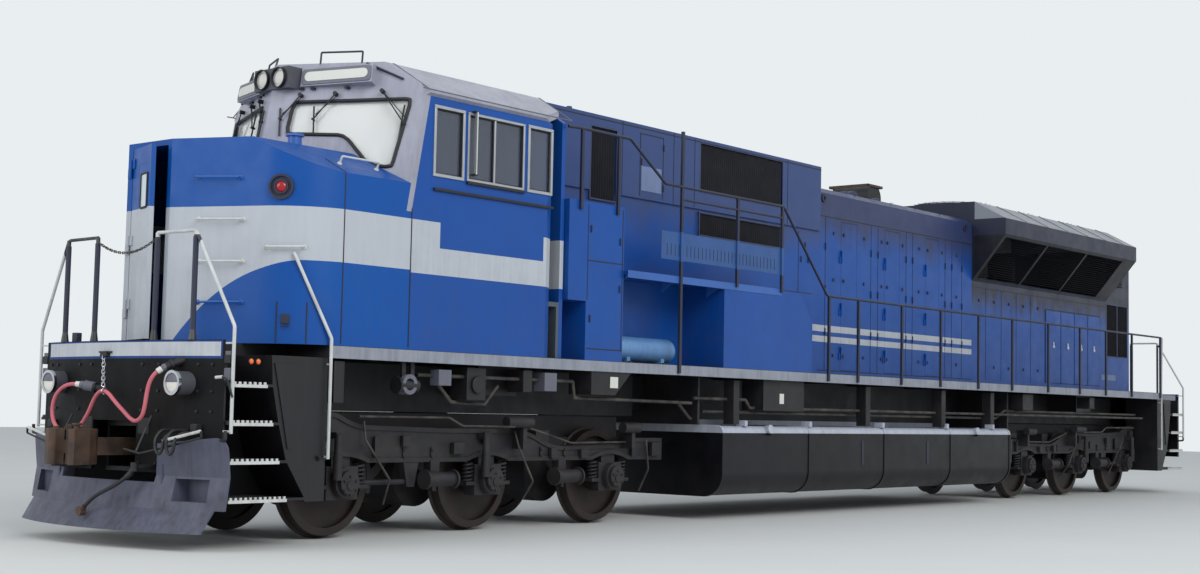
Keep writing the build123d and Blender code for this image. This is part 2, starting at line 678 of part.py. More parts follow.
# Nose shell: plan and section outlines intersected, hollow, with the doorway cut
with BuildPart() as nose_outside:
    extrude(nose_plan(0), amount=2400)
    extrude(nose_section(0), amount=4000, mode=Mode.INTERSECT)
with BuildPart() as nose_inside:
    extrude(nose_plan(nose_wall), amount=2400)
    extrude(nose_section(nose_wall), amount=4000, mode=Mode.INTERSECT)
    block(cab_side_bottom_x - 1270, cab_side_bottom_x + 400, -nose_half_width + nose_wall,
          nose_half_width - nose_wall, deck_z - 10, wall_bottom_z)
with BuildPart() as nose_shell:
    add(nose_outside.part)
    add(nose_inside.part, mode=Mode.SUBTRACT)
    # Everything behind the windscreen wall and the cab sides belongs to the cab
    with BuildPart(mode=Mode.PRIVATE) as cab_space:
        add(behind_screen.part)
        block(windscreen_x - 6000, windscreen_x + 2200, -2000, 2000, 0, cab_side_tip_z,
              mode=Mode.SUBTRACT)
    add(cab_space.part, mode=Mode.SUBTRACT)
    block(cab_side_bottom_x - 1270, cab_side_bottom_x, -1600, 1600, deck_z - 10,
          cab_side_tip_z + 500, mode=Mode.SUBTRACT)
    add(cab_front.part, mode=Mode.SUBTRACT)
    block(nose_front_x - 100, nose_front_x + 10, nose_door_hinge_y,
          nose_door_hinge_y + nose_door_width + 2 * door_gap, door_sill_z - door_gap,
          door_top_z + door_gap, mode=Mode.SUBTRACT)
    # Fixed hinge knuckles of the nose door
    add(fixed_hinge(nose_front_x + hinge_standoff, nose_door_hinge_y, 0, 60))
save(nose_shell.part, "nose_shell")

# End handrails and the grab rails of the steps
with BuildPart() as end_handrails:
    post_z = deck_z + 990
    grab_radius = 16
    grab_foot_z = rail + 1010
    grab_y = nose_half_width + 5
    for side in (1, -1):
        for post_x, post_y in ((front_end_x + 100, 470), (front_end_x + 70, 1000)):
            rod((post_x, side * post_y, deck_z), (post_x, side * post_y, post_z), 20)
            with Locations((post_x, side * post_y, deck_z + 60)):
                Cone(38, 22, 120)
        # From the inner post over the outer one and down beside the steps
        rail_tube([(front_end_x + 100, side * 470, post_z), (front_end_x + 70, side * 1000, post_z),
                   (front_end_x, side * grab_y, deck_z + 120), (front_end_x, side * grab_y, grab_foot_z)],
                  grab_radius, 70)
        for clip_z in (grab_foot_z + 20, deck_z - 30):
            block(front_end_x - 15, front_end_x, side * (end_half_width - 5), side * grab_y,
                  clip_z - 8, clip_z + 8)
        # From the nose corner down the truck side of the steps
        rail_tube([(nose_side_x + 377, side * 1261, deck_z + 842),
                   (nose_side_x + 420, side * 1312, deck_z + 850),
                   (front_well_x + 10, side * (grab_y + 15), deck_z + 60),
                   (front_well_x + 10, side * (grab_y + 15), rail + 780)], grab_radius, [30, 60])
        for clip_z in (rail + 800, deck_z - sill_depth - 60):
            block(front_well_x + 2, front_well_x + 18, side * (step_outer_y - 5), side * grab_y,
                  clip_z - 8, clip_z + 8)
        # Rear end
        rear_x = rear_end_x + 30
        rail_tube([(rear_x, side * 470, post_z), (rear_x, side * 1000, post_z),
                   (rear_x, side * grab_y, deck_z + 120), (rear_x, side * grab_y, grab_foot_z)],
                  grab_radius, 70)
        for clip_z in (grab_foot_z + 20, deck_z - 30):
            block(rear_x - 8, rear_x + 8, side * (end_half_width - 5), side * grab_y,
                  clip_z - 8, clip_z + 8)
        rail_tube([(rear_well_x + 30, side * (rear_half_width + 17), rail_z),
                   (rear_well_x - 25, side * (rear_half_width - 20), deck_z + 60),
                   (rear_well_x - 25, side * (rear_half_width - 20), rail + 780)], grab_radius, 60)
        for clip_z in (rail + 800, deck_z - sill_depth - 60):
            block(rear_well_x - 33, rear_well_x - 17, side * (step_outer_y - 5),
                  side * (rear_half_width - 20), clip_z - 8, clip_z + 8)
        for post_y in (470, 1000):
            rod((rear_x, side * post_y, deck_z), (rear_x, side * post_y, post_z), 20)
    add(nose_shell.part, mode=Mode.SUBTRACT)
    add(end_plates.part, mode=Mode.SUBTRACT)
    add(step_wells.part, mode=Mode.SUBTRACT)
save(end_handrails.part, "end_handrails")

# Nose door: hinged on its right-hand edge, standing ajar
with BuildPart(hinge_plane(nose_front_x + hinge_standoff, nose_door_hinge_y,
                           -nose_door_ajar)) as nose_door:
    leaf_face = -hinge_standoff
    block(leaf_face - door_thickness, leaf_face, door_gap, door_gap + nose_door_width,
          door_sill_z, door_top_z)
    # Tall window in the upper half
    block(leaf_face - 60, leaf_face + 10, 200, 430, deck_z + 1220, deck_z + 1720, mode=Mode.SUBTRACT)
    block(leaf_face - 30, leaf_face - 20, 200, 430, deck_z + 1220, deck_z + 1720)
    hinge_leaf(door_hinge_heights, 80, leaf_side=True)
save(nose_door.part, "nose_door")

# Cab rear door, hinged on its inboard edge and opening over the right-hand walkway
rear_hinge = (cab_rear_x - hinge_standoff, rear_door_y1 + door_gap)
with BuildPart(hinge_plane(*rear_hinge, 180)) as cab_rear_door:
    block(leaf_face - door_thickness, leaf_face, door_gap, rear_door_y1 - rear_door_y0 + door_gap,
          rear_door_bottom, rear_door_top)
    hinge_leaf(door_hinge_heights, 80, leaf_side=True)
save(cab_rear_door.part, "cab_rear_door")

# Equipment cabinet behind the cab, open at the bottom, its upper part slightly wider
# Columns: rear X, front X, bottom, top
cabinet_cuts = (
    (cabinet_rear_x + 980, cabinet_rear_x + 2860, deck_z + 2240, deck_z + 2850),
    (cabinet_rear_x + 980, cabinet_rear_x + 2860, deck_z + 1690, deck_z + 1960),
    (cabinet_front_x - 1490, cabinet_front_x - 1020, deck_z + 1920, deck_z + 2760),
)
cut_reach = cabinet_upper_half + 40
with BuildPart() as equipment_cabinet:
    block(cabinet_rear_x, cabinet_front_x, -cabinet_half, cabinet_half, deck_z, cabinet_top_z)
    block(cabinet_rear_x, cabinet_front_x, -cabinet_upper_half, cabinet_upper_half,
          cabinet_ledge_z, cabinet_top_z)
    block(cabinet_rear_x + hood_wall, cabinet_front_x - hood_wall, -cabinet_half + hood_wall,
          cabinet_half - hood_wall, deck_z, cabinet_top_z - hood_wall, mode=Mode.SUBTRACT)
    for cut_rear, cut_front, cut_bottom, cut_top in cabinet_cuts:
        block(cut_rear, cut_front, -cut_reach, cut_reach, cut_bottom, cut_top, mode=Mode.SUBTRACT)
save(equipment_cabinet.part, "equipment_cabinet")

# Left side lockers: tall locker by the cab, raised platform and lower box
with BuildPart() as side_lockers:
    locker_y = front_half_width
    block(locker_rear_x, cabinet_front_x - 20, cabinet_half, locker_y, deck_z, locker_top_z)
    block(cabinet_front_x - 330, cabinet_front_x, locker_y - 350, locker_y + 10, deck_z, deck_z + 650,
          mode=Mode.SUBTRACT)
    platform_y = rear_half_width
    block(2740, locker_rear_x, cabinet_half, platform_y, platform_z - 40, platform_z)
    slab(Plane.XZ.offset(-platform_y),
         [(lower_box_front_x, deck_z), (lower_box_front_x, platform_z), (2300, platform_z),
          (lower_box_rear_x, deck_z + 660), (lower_box_rear_x, deck_z)], platform_y - cabinet_half)
save(side_lockers.part, "side_lockers")

# Engine hood: a long sheet housing with three door openings each side
with BuildPart() as engine_hood:
    slab(Plane.YZ.offset(radiator_front_x),
         [(-hood_half, deck_z), (-hood_half, hood_top_z - 80), (-hood_half + 110, hood_top_z),
          (hood_half - 110, hood_top_z), (hood_half, hood_top_z - 80), (hood_half, deck_z)],
         hood_front_x - radiator_front_x)
    inner = hood_half - hood_wall
    slab(Plane.YZ.offset(radiator_front_x),
         [(-inner, deck_z), (-inner, hood_top_z - 100), (-inner + 100, hood_top_z - hood_wall),
          (inner - 100, hood_top_z - hood_wall), (inner, hood_top_z - 100), (inner, deck_z)],
         hood_front_x - radiator_front_x, mode=Mode.SUBTRACT)
    for door_x in hood_door_xs:
        half_opening = hood_door_width / 2 + door_gap
        block(door_x - half_opening, door_x + half_opening, -1000, 1000,
              hood_door_bottom - door_gap, hood_door_top + door_gap, mode=Mode.SUBTRACT)
    for door_x in hood_door_xs:
        knuckles = fixed_hinge(door_x + hood_door_width / 2 + door_gap, hood_half + hinge_standoff,
                               90, 50)
        add(knuckles)
        add(mirror(knuckles, about=Plane.XZ, mode=Mode.PRIVATE))
save(engine_hood.part, "engine_hood")

# Hood doors, hinged at their front edges: the left ones, and their mirrors on the right
for number, door_x in enumerate(hood_door_xs, start=1):
    hinge_x = door_x + hood_door_width / 2 + door_gap
    with BuildPart(hinge_plane(hinge_x, hood_half + hinge_standoff, 90)) as left_door:
        block(leaf_face - hood_wall, leaf_face, door_gap, door_gap + hood_door_width,
              hood_door_bottom, hood_door_top)
        hinge_leaf(door_hinge_heights, 60, leaf_side=True)
    with BuildPart() as right_door:
        add(mirror(left_door.part, about=Plane.XZ, mode=Mode.PRIVATE))
    save(left_door.part, "hood_door_left_" + str(number))
    save(right_door.part, "hood_door_right_" + str(number))


def wing_points(inset):
    # Section of the flared wings: slanted intakes, upright lips, sloping roof edges
    return [(-hood_half + inset, wing_low_z), (-wing_half + inset, wing_lip_z),
            (-wing_half + inset, wing_top_z - inset * 0.6), (-950, radiator_top_z - inset),
            (950, radiator_top_z - inset), (wing_half - inset, wing_top_z - inset * 0.6),
            (wing_half - inset, wing_lip_z), (hood_half - inset, wing_low_z)]


bay_count, bay_gap, bay_front_margin, bay_rear_margin = 3, 60, 90, 550
bay_span = radiator_front_x - bay_front_margin - wing_rear_x - bay_rear_margin
bay_length = (bay_span - (bay_count - 1) * bay_gap) / bay_count
bay_fronts = [radiator_front_x - bay_front_margin - number * (bay_length + bay_gap)
              for number in range(bay_count)]
intake_bays = [(front - bay_length, front) for front in bay_fronts]
fan_pitch = (radiator_front_x - wing_rear_x - 2 * fan_end_margin) / (bay_count - 1)
fan_xs = [radiator_front_x - fan_end_margin - number * fan_pitch for number in range(bay_count)]
intake_slope = Vector(wing_half - hood_half, wing_lip_z - wing_low_z).normalized()
intake_length = Vector(wing_half - hood_half, wing_lip_z - wing_low_z).length
intake_margin = 60
rear_grille_bottom, rear_grille_top = deck_z + 660, deck_z + 1610


def intake_band(side, inner, outer):
    # Section of a strip along the slanted intake, from inner to outer off its sheet
    corners = []
    for along, off in ((intake_margin, inner), (intake_length - intake_margin, inner),
                       (intake_length - intake_margin, outer), (intake_margin, outer)):
        y = hood_half + along * intake_slope.X + off * intake_slope.Y
        z = wing_low_z + along * intake_slope.Y - off * intake_slope.X
        corners.append((side * y, z))
    return corners


# Radiator housing with its flared wings
with BuildPart() as radiator_housing:
    block(hood_rear_x, radiator_front_x, -hood_half, hood_half, deck_z, hood_top_z)
    slab(Plane.YZ.offset(wing_rear_x), wing_points(0), radiator_front_x - wing_rear_x)
    block(hood_rear_x + hood_wall, radiator_front_x, -hood_half + hood_wall, hood_half - hood_wall,
          deck_z, hood_top_z - hood_wall, mode=Mode.SUBTRACT)
    slab(Plane.YZ.offset(wing_rear_x + hood_wall), wing_points(hood_wall),
         radiator_front_x - wing_rear_x - 2 * hood_wall, mode=Mode.SUBTRACT)
    for fan_x in fan_xs:
        with Locations((fan_x, 0, radiator_top_z + 20)):
            Cylinder(fan_opening_radius + 30, 100)
            Cylinder(fan_opening_radius, 400, mode=Mode.SUBTRACT)
        block(fan_x - 60, fan_x + 60, -fan_opening_radius - 20, fan_opening_radius + 20,
              radiator_top_z - 110, radiator_top_z - 38)
    for bay_rear, bay_front in intake_bays:
        for side in (1, -1):
            slab(Plane.YZ.offset(bay_rear), intake_band(side, -hood_wall - 20, 20),
                 bay_front - bay_rear, mode=Mode.SUBTRACT)
    block(hood_rear_x + 100, wing_rear_x - 60, -hood_half - 50, hood_half + 50, rear_grille_bottom,
          rear_grille_top, mode=Mode.SUBTRACT)
save(radiator_housing.part, "radiator_housing")

# Radiator fans: a hub with eight pitched blades each
for number, fan_x in enumerate(fan_xs, start=1):
    with BuildPart() as fan:
        hub_radius, hub_height, blade_chord, blade_pitch = 150, 110, 230, 25
        hub_bottom = radiator_top_z - 38 + running_gap
        with Locations((fan_x, 0, hub_bottom + hub_height / 2)):
            Cylinder(hub_radius, hub_height)
        with Locations((fan_x, 0, hub_bottom + hub_height / 2 + 8)):
            with PolarLocations((hub_radius + fan_radius) / 2 - 5, 8):
                Box(fan_radius - hub_radius + 10, blade_chord, 12, rotation=(blade_pitch, 0, 0))
    save(fan.part, "radiator_fan_" + str(number))

# Grilles: a frame with slats in each opening of the two housings
with BuildPart() as grilles:
    for side in (1, -1):
        for cut_rear, cut_front, cut_bottom, cut_top in cabinet_cuts:
            face_y = side * (cabinet_half - 10)
            slat_count = int((cut_top - cut_bottom) / 60)
            block(cut_rear, cut_front, face_y - side * 5, face_y, cut_bottom, cut_top)
            for slat in range(slat_count):
                slat_z = cut_bottom + (slat + 0.5) * (cut_top - cut_bottom) / slat_count
                block(cut_rear, cut_front, face_y, face_y + side * 20, slat_z - 6, slat_z + 6)
        block(hood_rear_x + 100, wing_rear_x - 60, side * (hood_half - 15), side * (hood_half - 10),
              rear_grille_bottom, rear_grille_top)
        for bay_rear, bay_front in intake_bays:
            slab(Plane.YZ.offset(bay_rear), intake_band(side, -hood_wall, -hood_wall + 15),
                 bay_front - bay_rear)
save(grilles.part, "grilles")

# Engine, standing on the deck inside the hood
with BuildPart() as engine_block:
    block(-4900, 700, -640, 640, deck_z, hood_top_z - 390)
save(engine_block.part, "engine_block")

# Exhaust stack with a half-round cap
with BuildPart() as exhaust_stack:
    with BuildSketch(Plane.XZ.offset(-330)):
        with BuildLine():
            Polyline((-1500, hood_top_z + 150), (-1500, hood_top_z), (-1900, hood_top_z),
                     (-1900, hood_top_z + 150))
            RadiusArc((-1900, hood_top_z + 150), (-1500, hood_top_z + 150), 200)
        make_face()
    extrude(amount=660)
save(exhaust_stack.part, "exhaust_stack")

# Air horn on the cab roof
with BuildPart() as air_horn:
    horn_x = cab_rear_x + 100
    block(horn_x, horn_x + 100, -150, 150, roof_z, roof_z + 60)
    for bell_y in (-110, 0, 110):
        with Locations((horn_x + 150, bell_y, roof_z + 90)):
            Cone(20, 65, 330, rotation=(0, 90, 0))
        block(horn_x + 20, horn_x + 80, bell_y - 20, bell_y + 20, roof_z, roof_z + 90)
save(air_horn.part, "air_horn")

# Lamps: twin headlights at both ends, two marker lamps and two ditch lights
with BuildPart() as lamps:
    # Housing of the headlights on the windscreen wall, with the two lamps in it
    lamp_y, lamp_z, lamp_radius = 130, deck_z + 2750, 90
    lamp_face_x = windscreen_x - 10
    block(lamp_face_x - 360, lamp_face_x, -265, 265, lamp_z - 110, lamp_z + 110)
    for side in (1, -1):
        rod((lamp_face_x, side * lamp_y, lamp_z), (lamp_face_x - 60, side * lamp_y, lamp_z),
            lamp_radius + 8, mode=Mode.SUBTRACT)
        rod((lamp_face_x - 60, side * lamp_y, lamp_z), (lamp_face_x - 10, side * lamp_y, lamp_z),
            lamp_radius)
    add(behind_screen.part, mode=Mode.SUBTRACT)
    ditch_y, ditch_z, ditch_radius = 970, rail + 1450, 105
    for side in (1, -1):
        rod((front_end_x + 60, side * ditch_y, ditch_z), (front_end_x + 240, side * ditch_y, ditch_z),
            ditch_radius)
        rod((hood_rear_x, side * lamp_y, hood_top_z - 190),
            (hood_rear_x - 60, side * lamp_y, hood_top_z - 190), lamp_radius + 10)
    add(end_plates.part, mode=Mode.SUBTRACT)
save(lamps.part, "lamps")

# Number board boxes above the windscreens, faces blank: wedges on the swept wall
screen = windscreen_plane()
board_rise = on_windscreen(0, deck_z + 2660)[1]
board_plane = Plane(origin=screen.origin + screen.y_dir * board_rise, x_dir=screen.x_dir,
                    z_dir=screen.y_dir)
with BuildPart() as number_boards:
    slab(board_plane, [(330, 0), (330, -25), (1130, -120), (1130, 0)], 190)
    mirror(about=Plane.XZ)
save(number_boards.part, "number_boards")

# Couplers: a shank on its pin, a head with its guard arm, and a curled knuckle on a pin
with BuildPart() as coupler:
    with BuildSketch(Plane.XY.offset(coupler_height - head_half_height)) as head_outline:
        with BuildLine():
            face = coupler_face_x
            tail = coupler_pin_x - 110
            Polyline((face - 25, -125), (face - 5, -60))
            ThreePointArc((face - 5, -60), (face - 12, -15), (face - 60, 0))
            ThreePointArc((face - 60, 0), (face - 130, 20), (face - 165, 90))
            Polyline((face - 165, 90), (face - 150, 140), (face - 20, 235), (face - 55, 280),
                     (face - 235, 250), (face - 355, 165), (face - 435, 75), (tail, 75), (tail, -75),
                     (face - 435, -75), (face - 355, -190), (face - 180, -205))
            ThreePointArc((face - 180, -205), (face - 75, -195), (face - 25, -125))
        make_face()
    extrude(amount=2 * head_half_height)
    for low, high in ((-2 * head_half_height, -shank_half_height),
                      (shank_half_height, 2 * head_half_height)):
        block(coupler_pin_x - 200, face - 430, -250, 250, coupler_height + low,
              coupler_height + high, mode=Mode.SUBTRACT)
    # Gap round the knuckle's root, above and below the tongue that holds it
    slot = [(face - 185, -230), (face - 175, -230), (face - 150, -60), (face - 120, 30),
            (face - 135, 30), (face - 165, -60)]
    for low, high in ((-170, -60), (60, 170)):
        slab(Plane.XY.offset(coupler_height + low), slot, high - low, mode=Mode.SUBTRACT)
    with Locations((face - 130, -125, coupler_height)):
        Cylinder(32, 2 * head_half_height + 40)
    with Locations((coupler_pin_x, 0, coupler_height)):
        Cylinder(coupler_pin_radius + bearing_gap, 400, mode=Mode.SUBTRACT)
save_pair(coupler.part, "coupler")

# Wheelsets: two wheels pressed on an axle
wheel_radius = wheel_diameter / 2
wheel_back = back_to_back / 2
wheel_front = wheel_back + wheel_width
journal_end = 1130
axle_numbers = (
    # number, X
    (1, truck_x + axle_spacing), (2, truck_x), (3, truck_x - axle_spacing),
    (4, -truck_x + axle_spacing), (5, -truck_x), (6, -truck_x - axle_spacing),
)
for number, axle_x in axle_numbers:
    with BuildPart() as wheelset:
        with BuildSketch(Plane.YZ.offset(axle_x)) as half_section:
            with BuildLine():
                Polyline((0, axle_z), (journal_end, axle_z), (journal_end, axle_z + journal_diameter / 2),
                         (wheel_front + 40, axle_z + journal_diameter / 2),
                         (wheel_front + 40, axle_z + 150), (wheel_front - 60, axle_z + 170),
                         (wheel_front - 60, axle_z + wheel_radius - 80),
                         (wheel_front, axle_z + wheel_radius - 80),
                         (wheel_front, axle_z + wheel_radius - 4),
                         (wheel_back + 33, axle_z + wheel_radius + 1),
                         (wheel_back + 22, axle_z + wheel_radius + flange_depth),
                         (wheel_back + 8, axle_z + wheel_radius + flange_depth),
                         (wheel_back, axle_z + wheel_radius - 80),
                         (wheel_back + 40, axle_z + wheel_radius - 80),
                         (wheel_back + 40, axle_z + 170), (wheel_back - 30, axle_z + 150),
                         (wheel_back - 30, axle_z + axle_diameter / 2),
                         (0, axle_z + axle_diameter / 2), close=True)
            make_face()
        revolve(axis=Axis((axle_x, 0, axle_z), (0, 1, 0)))
        mirror(about=Plane.XZ)
    save(wheelset.part, "wheelset_" + str(number))

# Truck frames: cast side frames with a stepped top and arches over the axle boxes, joined by
# transoms, with a bowl for the centre plate, brake cylinders, dampers and brake shoes
frame_inner_y = 900
frame_outer_y = 1050
frame_rim = 45
frame_relief = 18
frame_bottom = rail + 720
arch_half, arch_rise = 330, 65
transom_x, transom_half = 1035, 110
transom_bottom = rail + 760
shoe_gap, shoe_thickness = 12, 55


def frame_outline():
    # Side frame seen from its side: x from the truck's centre toward the nose
    def at(x, height):
        return (truck_x + x, rail + height)

    with BuildSketch(Plane.XZ) as outline:
        with BuildLine():
            Polyline(at(-3050, 710), at(-3050, 970), at(-2450, 970), at(-2180, 900), at(-1300, 880))
            ThreePointArc(at(-1300, 880), at(-1000, 905), at(-800, 975))
            ThreePointArc(at(-800, 975), at(-590, 1040), at(-300, 1065))
            Polyline(at(-300, 1065), at(650, 1065), at(1750, 1090))
            ThreePointArc(at(1750, 1090), at(1960, 1125), at(2120, 1190))
            Polyline(at(2120, 1190), at(2200, 1210), at(2450, 1210), at(2450, 800), at(2430, 720))
            for box_x in (axle_spacing, 0, -axle_spacing):
                last_x = 2430 if box_x > 0 else box_x + axle_spacing - arch_half
                Line(at(last_x, 720), at(box_x + arch_half, 720))
                ThreePointArc(at(box_x + arch_half, 720), at(box_x, 720 + arch_rise),
                              at(box_x - arch_half, 720))
            Polyline(at(-axle_spacing - arch_half, 720), at(-3050, 710))
        make_face()
    return outline.sketch_local


with BuildPart() as truck_frame:
    # Side frames, sunk between a raised rim all round
    outline = frame_outline()
    with BuildPart(mode=Mode.PRIVATE) as side_frame:
        with BuildSketch(Plane.XZ.offset(-frame_outer_y)):
            add(outline)
        extrude(amount=frame_outer_y - frame_inner_y)
        with BuildSketch(Plane.XZ.offset(-frame_outer_y)):
            add(outline)
            offset(amount=-frame_rim, kind=Kind.INTERSECTION)
        extrude(amount=frame_relief, mode=Mode.SUBTRACT)
        # Ribs across the sunk face
        for rib_x in (-1250, -850, 850, 1250):
            block(truck_x + rib_x - 15, truck_x + rib_x + 15,
                  frame_outer_y - frame_relief - 5, frame_outer_y, frame_bottom + 10, rail + 870)
    add(side_frame.part)
    add(mirror(side_frame.part, about=Plane.XZ, mode=Mode.PRIVATE))
    for transom_side in (-1, 1):
        middle = truck_x + transom_side * transom_x
        block(middle - transom_half, middle + transom_half, -frame_inner_y, frame_inner_y,
              transom_bottom, rail + 1050)
    block(truck_x - transom_x, truck_x + transom_x, -380, 380, rail + 990,
          center_plate_z - running_gap)
    for side in (1, -1):
        # Vertical dampers with their brackets: distance from the truck's centre
        for damper_x in (140, 2220):
            damper_at = truck_x + damper_x
            rod((damper_at, side * 1140, rail + 560), (damper_at, side * 1140, rail + 800), 46)
            rod((damper_at, side * 1140, rail + 800), (damper_at, side * 1140, rail + 1000), 38)
            block(damper_at - 35, damper_at + 35, side * (frame_outer_y - frame_relief - 5),
                  side * 1150, rail + 960, rail + 1020)
        # Brake cylinders below the frame, each on a bracket
        for cylinder_x in (600, -1415):
            near, far = truck_x + cylinder_x, truck_x + (cylinder_x + 430)
            cylinder_z = rail + 545
            rod((near, side * 1120, cylinder_z), (far, side * 1120, cylinder_z), 75)
            for flange_x in (near, far - 25):
                rod((flange_x, side * 1120, cylinder_z), (flange_x + 25, side * 1120, cylinder_z),
                    100)
            block(near + 150, near + 280, side * 960, side * 1060, cylinder_z - 60,
                  frame_bottom + 20)
        # Hanger that takes the guide rod of the front axle box
        slab(Plane.XZ.offset(-side * 1040),
             [(truck_x + x, rail + z)
              for x, z in ((1030, 740), (1250, 740), (1190, 470), (1090, 470))], side * 90)
        # Lengthwise damper over the middle axle and one at the inner end
        for damper_x, length, damper_z in ((-500, 400, rail + 1140), (-2400, 300, rail + 1095)):
            near = truck_x + damper_x
            rod((near, side * 1200, damper_z), (near + length, side * 1200, damper_z), 60)
            block(near + 60, near + 120, side * 1000, side * 1200, rail + 850,
                  damper_z + 20)
        # Brake shoes facing the treads, on arms from the transoms
        for wheel_x, facing in ((axle_spacing, -1), (0, 1), (-axle_spacing, 1)):
            wheel_at = truck_x + wheel_x
            shoe_y = side * (back_to_back / 2 + wheel_width / 2 + 20)
            shoe_inner = wheel_diameter / 2 + shoe_gap
            with BuildSketch(Plane.XZ.offset(-shoe_y)) as shoe:
                with Locations((wheel_at, axle_z)):
                    Circle(shoe_inner + shoe_thickness)
                    Circle(shoe_inner, mode=Mode.SUBTRACT)
                with Locations((wheel_at + facing * (shoe_inner + 30), axle_z + 20)):
                    Rectangle(260, 300, mode=Mode.INTERSECT)
            extrude(shoe.sketch, amount=40, both=True)
            arm_x = shoe_inner + shoe_thickness - 15
            transom_near = transom_x - transom_half if wheel_x == 0 else transom_x + transom_half
            transom_at = truck_x + (transom_near if wheel_x >= 0 else -transom_near)
            slab(Plane.XZ.offset(-shoe_y - 20),
                 [(wheel_at + facing * arm_x, axle_z - 40), (wheel_at + facing * arm_x, axle_z + 90),
                  (transom_at, transom_bottom + 120), (transom_at, transom_bottom + 10)], 40)
save_pair(truck_frame.part, "truck_frame")

# Axle boxes, one at each journal: a stepped cap, a spring seat up in the arch, guide rods
with BuildPart() as axle_boxes:
    box_half = 205
    for box_x in (-axle_spacing, 0, axle_spacing):
        for side in (1, -1):
            axle_at = truck_x + box_x
            block(axle_at - box_half, axle_at + box_half, side * (frame_inner_y - 5), side * 1045,
                  axle_z - 170, axle_z + 155)
            block(axle_at - 120, axle_at + 120, side * (frame_inner_y + 10),
                  side * (frame_outer_y - frame_relief - 20), axle_z + 150, frame_bottom + arch_rise + 20)
            rod((axle_at, side * 895, axle_z), (axle_at, side * 1120, axle_z), 150)
            rod((axle_at, side * 1120, axle_z), (axle_at, side * 1165, axle_z), 118)
            rod((axle_at, side * 800, axle_z), (axle_at, side * (journal_end + 1), axle_z),
                journal_diameter / 2 + bearing_gap, mode=Mode.SUBTRACT)
            if box_x > 0:
                rod((axle_at - 180, side * 995, axle_z - 10),
                    (truck_x + 1175, side * 995, axle_z - 10), 28)
    add(truck_frame.part, mode=Mode.SUBTRACT)
save_pair(axle_boxes.part, "axle_boxes")

# Traction motors, hung between the axle and the next transom
motor_radius, motor_half, motor_reach, axle_clearance = 330, 430, 480, 6
with BuildPart() as traction_motors:
    for box_x, lean in ((-axle_spacing, 1), (0, 1), (axle_spacing, -1)):
        axle_x = truck_x + box_x
        motor_x = axle_x + lean * motor_reach
        gap_side = transom_x - transom_half if box_x == 0 else -(transom_x + transom_half)
        transom_face = truck_x + lean * gap_side
        rod((motor_x, -motor_half, axle_z + 20), (motor_x, motor_half, axle_z + 20), motor_radius)
        rod((axle_x, -motor_half, axle_z), (axle_x, motor_half, axle_z), axle_diameter / 2 + 60)
        block(motor_x, transom_face, -200, 200, rail + 880, rail + 960)
        rod((axle_x, -motor_half, axle_z), (axle_x, motor_half, axle_z),
            axle_diameter / 2 + axle_clearance, mode=Mode.SUBTRACT)
save_pair(traction_motors.part, "traction_motors")


def bend_radii(points):
    # Each bend is as large as its two runs allow
    radii = []
    for before, corner, after in zip(points, points[1:], points[2:]):
        run_in = Vector(*corner) - Vector(*before)
        run_out = Vector(*after) - Vector(*corner)
        turn = radians(run_in.get_angle(run_out))
        radii.append(0.45 * min(run_in.length, run_out.length) / tan(turn / 2))
    return radii


def hose(points, radius):
    # A cord along straight runs joined by the largest bends that fit
    bends = bend_radii(points)
    print("bend radii", [round(bend) for bend in bends])
    with BuildLine() as path:
        FilletPolyline(*points, radius=bends)
    with BuildSketch(Plane(origin=path.line @ 0, z_dir=path.line % 0)) as section:
        Circle(radius)
    sweep(section.sketch, path=path.line)


# Jumper cable looped from socket to socket across the end plate, held up by a chain
cable_radius = 19
cable_points = [
    (11640, -317, rail + 1412), (11695, -385, rail + 1427), (11720, -500, rail + 1430),
    (11720, -640, rail + 1393), (11722, -745, rail + 1300), (11725, -775, rail + 1170),
    (11726, -725, rail + 1050), (11725, -610, rail + 980), (11725, -475, rail + 970),
    (11725, -345, rail + 1005), (11726, -245, rail + 1080), (11725, -160, rail + 1185),
    (11725, -90, rail + 1300), (11725, 5, rail + 1375), (11725, 115, rail + 1360),
    (11726, 245, rail + 1265), (11725, 400, rail + 1170), (11725, 480, rail + 1118),
    (11726, 572, rail + 1095), (11725, 655, rail + 1140), (11726, 690, rail + 1228),
    (11725, 708, rail + 1332), (11725, 735, rail + 1440), (11705, 775, rail + 1520),
    (11665, 812, rail + 1570), (11620, 835, rail + 1592),
]
with BuildPart() as jumper_cable:
    hose(cable_points, cable_radius)
save(jumper_cable.part, "jumper_cable")

# Plugs and sockets at the cable's two ends, each bolted to the end plate
with BuildPart() as jumper_sockets:
    # Columns: cable end, the next point along the cable, length to the plate
    for cable_end, cable_next, length in ((cable_points[0], cable_points[1], 135),
                                          (cable_points[-1], cable_points[-2], 175)):
        plug_axis = (Vector(*cable_end) - Vector(*cable_next)).normalized()
        rod(cable_end, Vector(*cable_end) + plug_axis * length, 34)
        collar = Vector(*cable_end) + plug_axis * 45
        rod(collar, collar + plug_axis * 25, 46)
    add(end_plates.part, mode=Mode.SUBTRACT)
save(jumper_sockets.part, "jumper_sockets")

# Chain from the end plate to a ring round the top of the cable's middle loop
chain_top = (11560, -140, rail + 1700)
with BuildPart() as jumper_chain:
    rod(chain_top, (11725, 30, rail + 1410), 6)
    with Locations(Location((11725, 58, rail + 1372), (90, 0, 70))):
        Torus(cable_radius + 6, 5)
    block(11540, 11580, -165, -115, rail + 1685, rail + 1715)
    add(end_plates.part, mode=Mode.SUBTRACT)
    add(jumper_cable.part, mode=Mode.SUBTRACT)
save(jumper_chain.part, "jumper_chain")

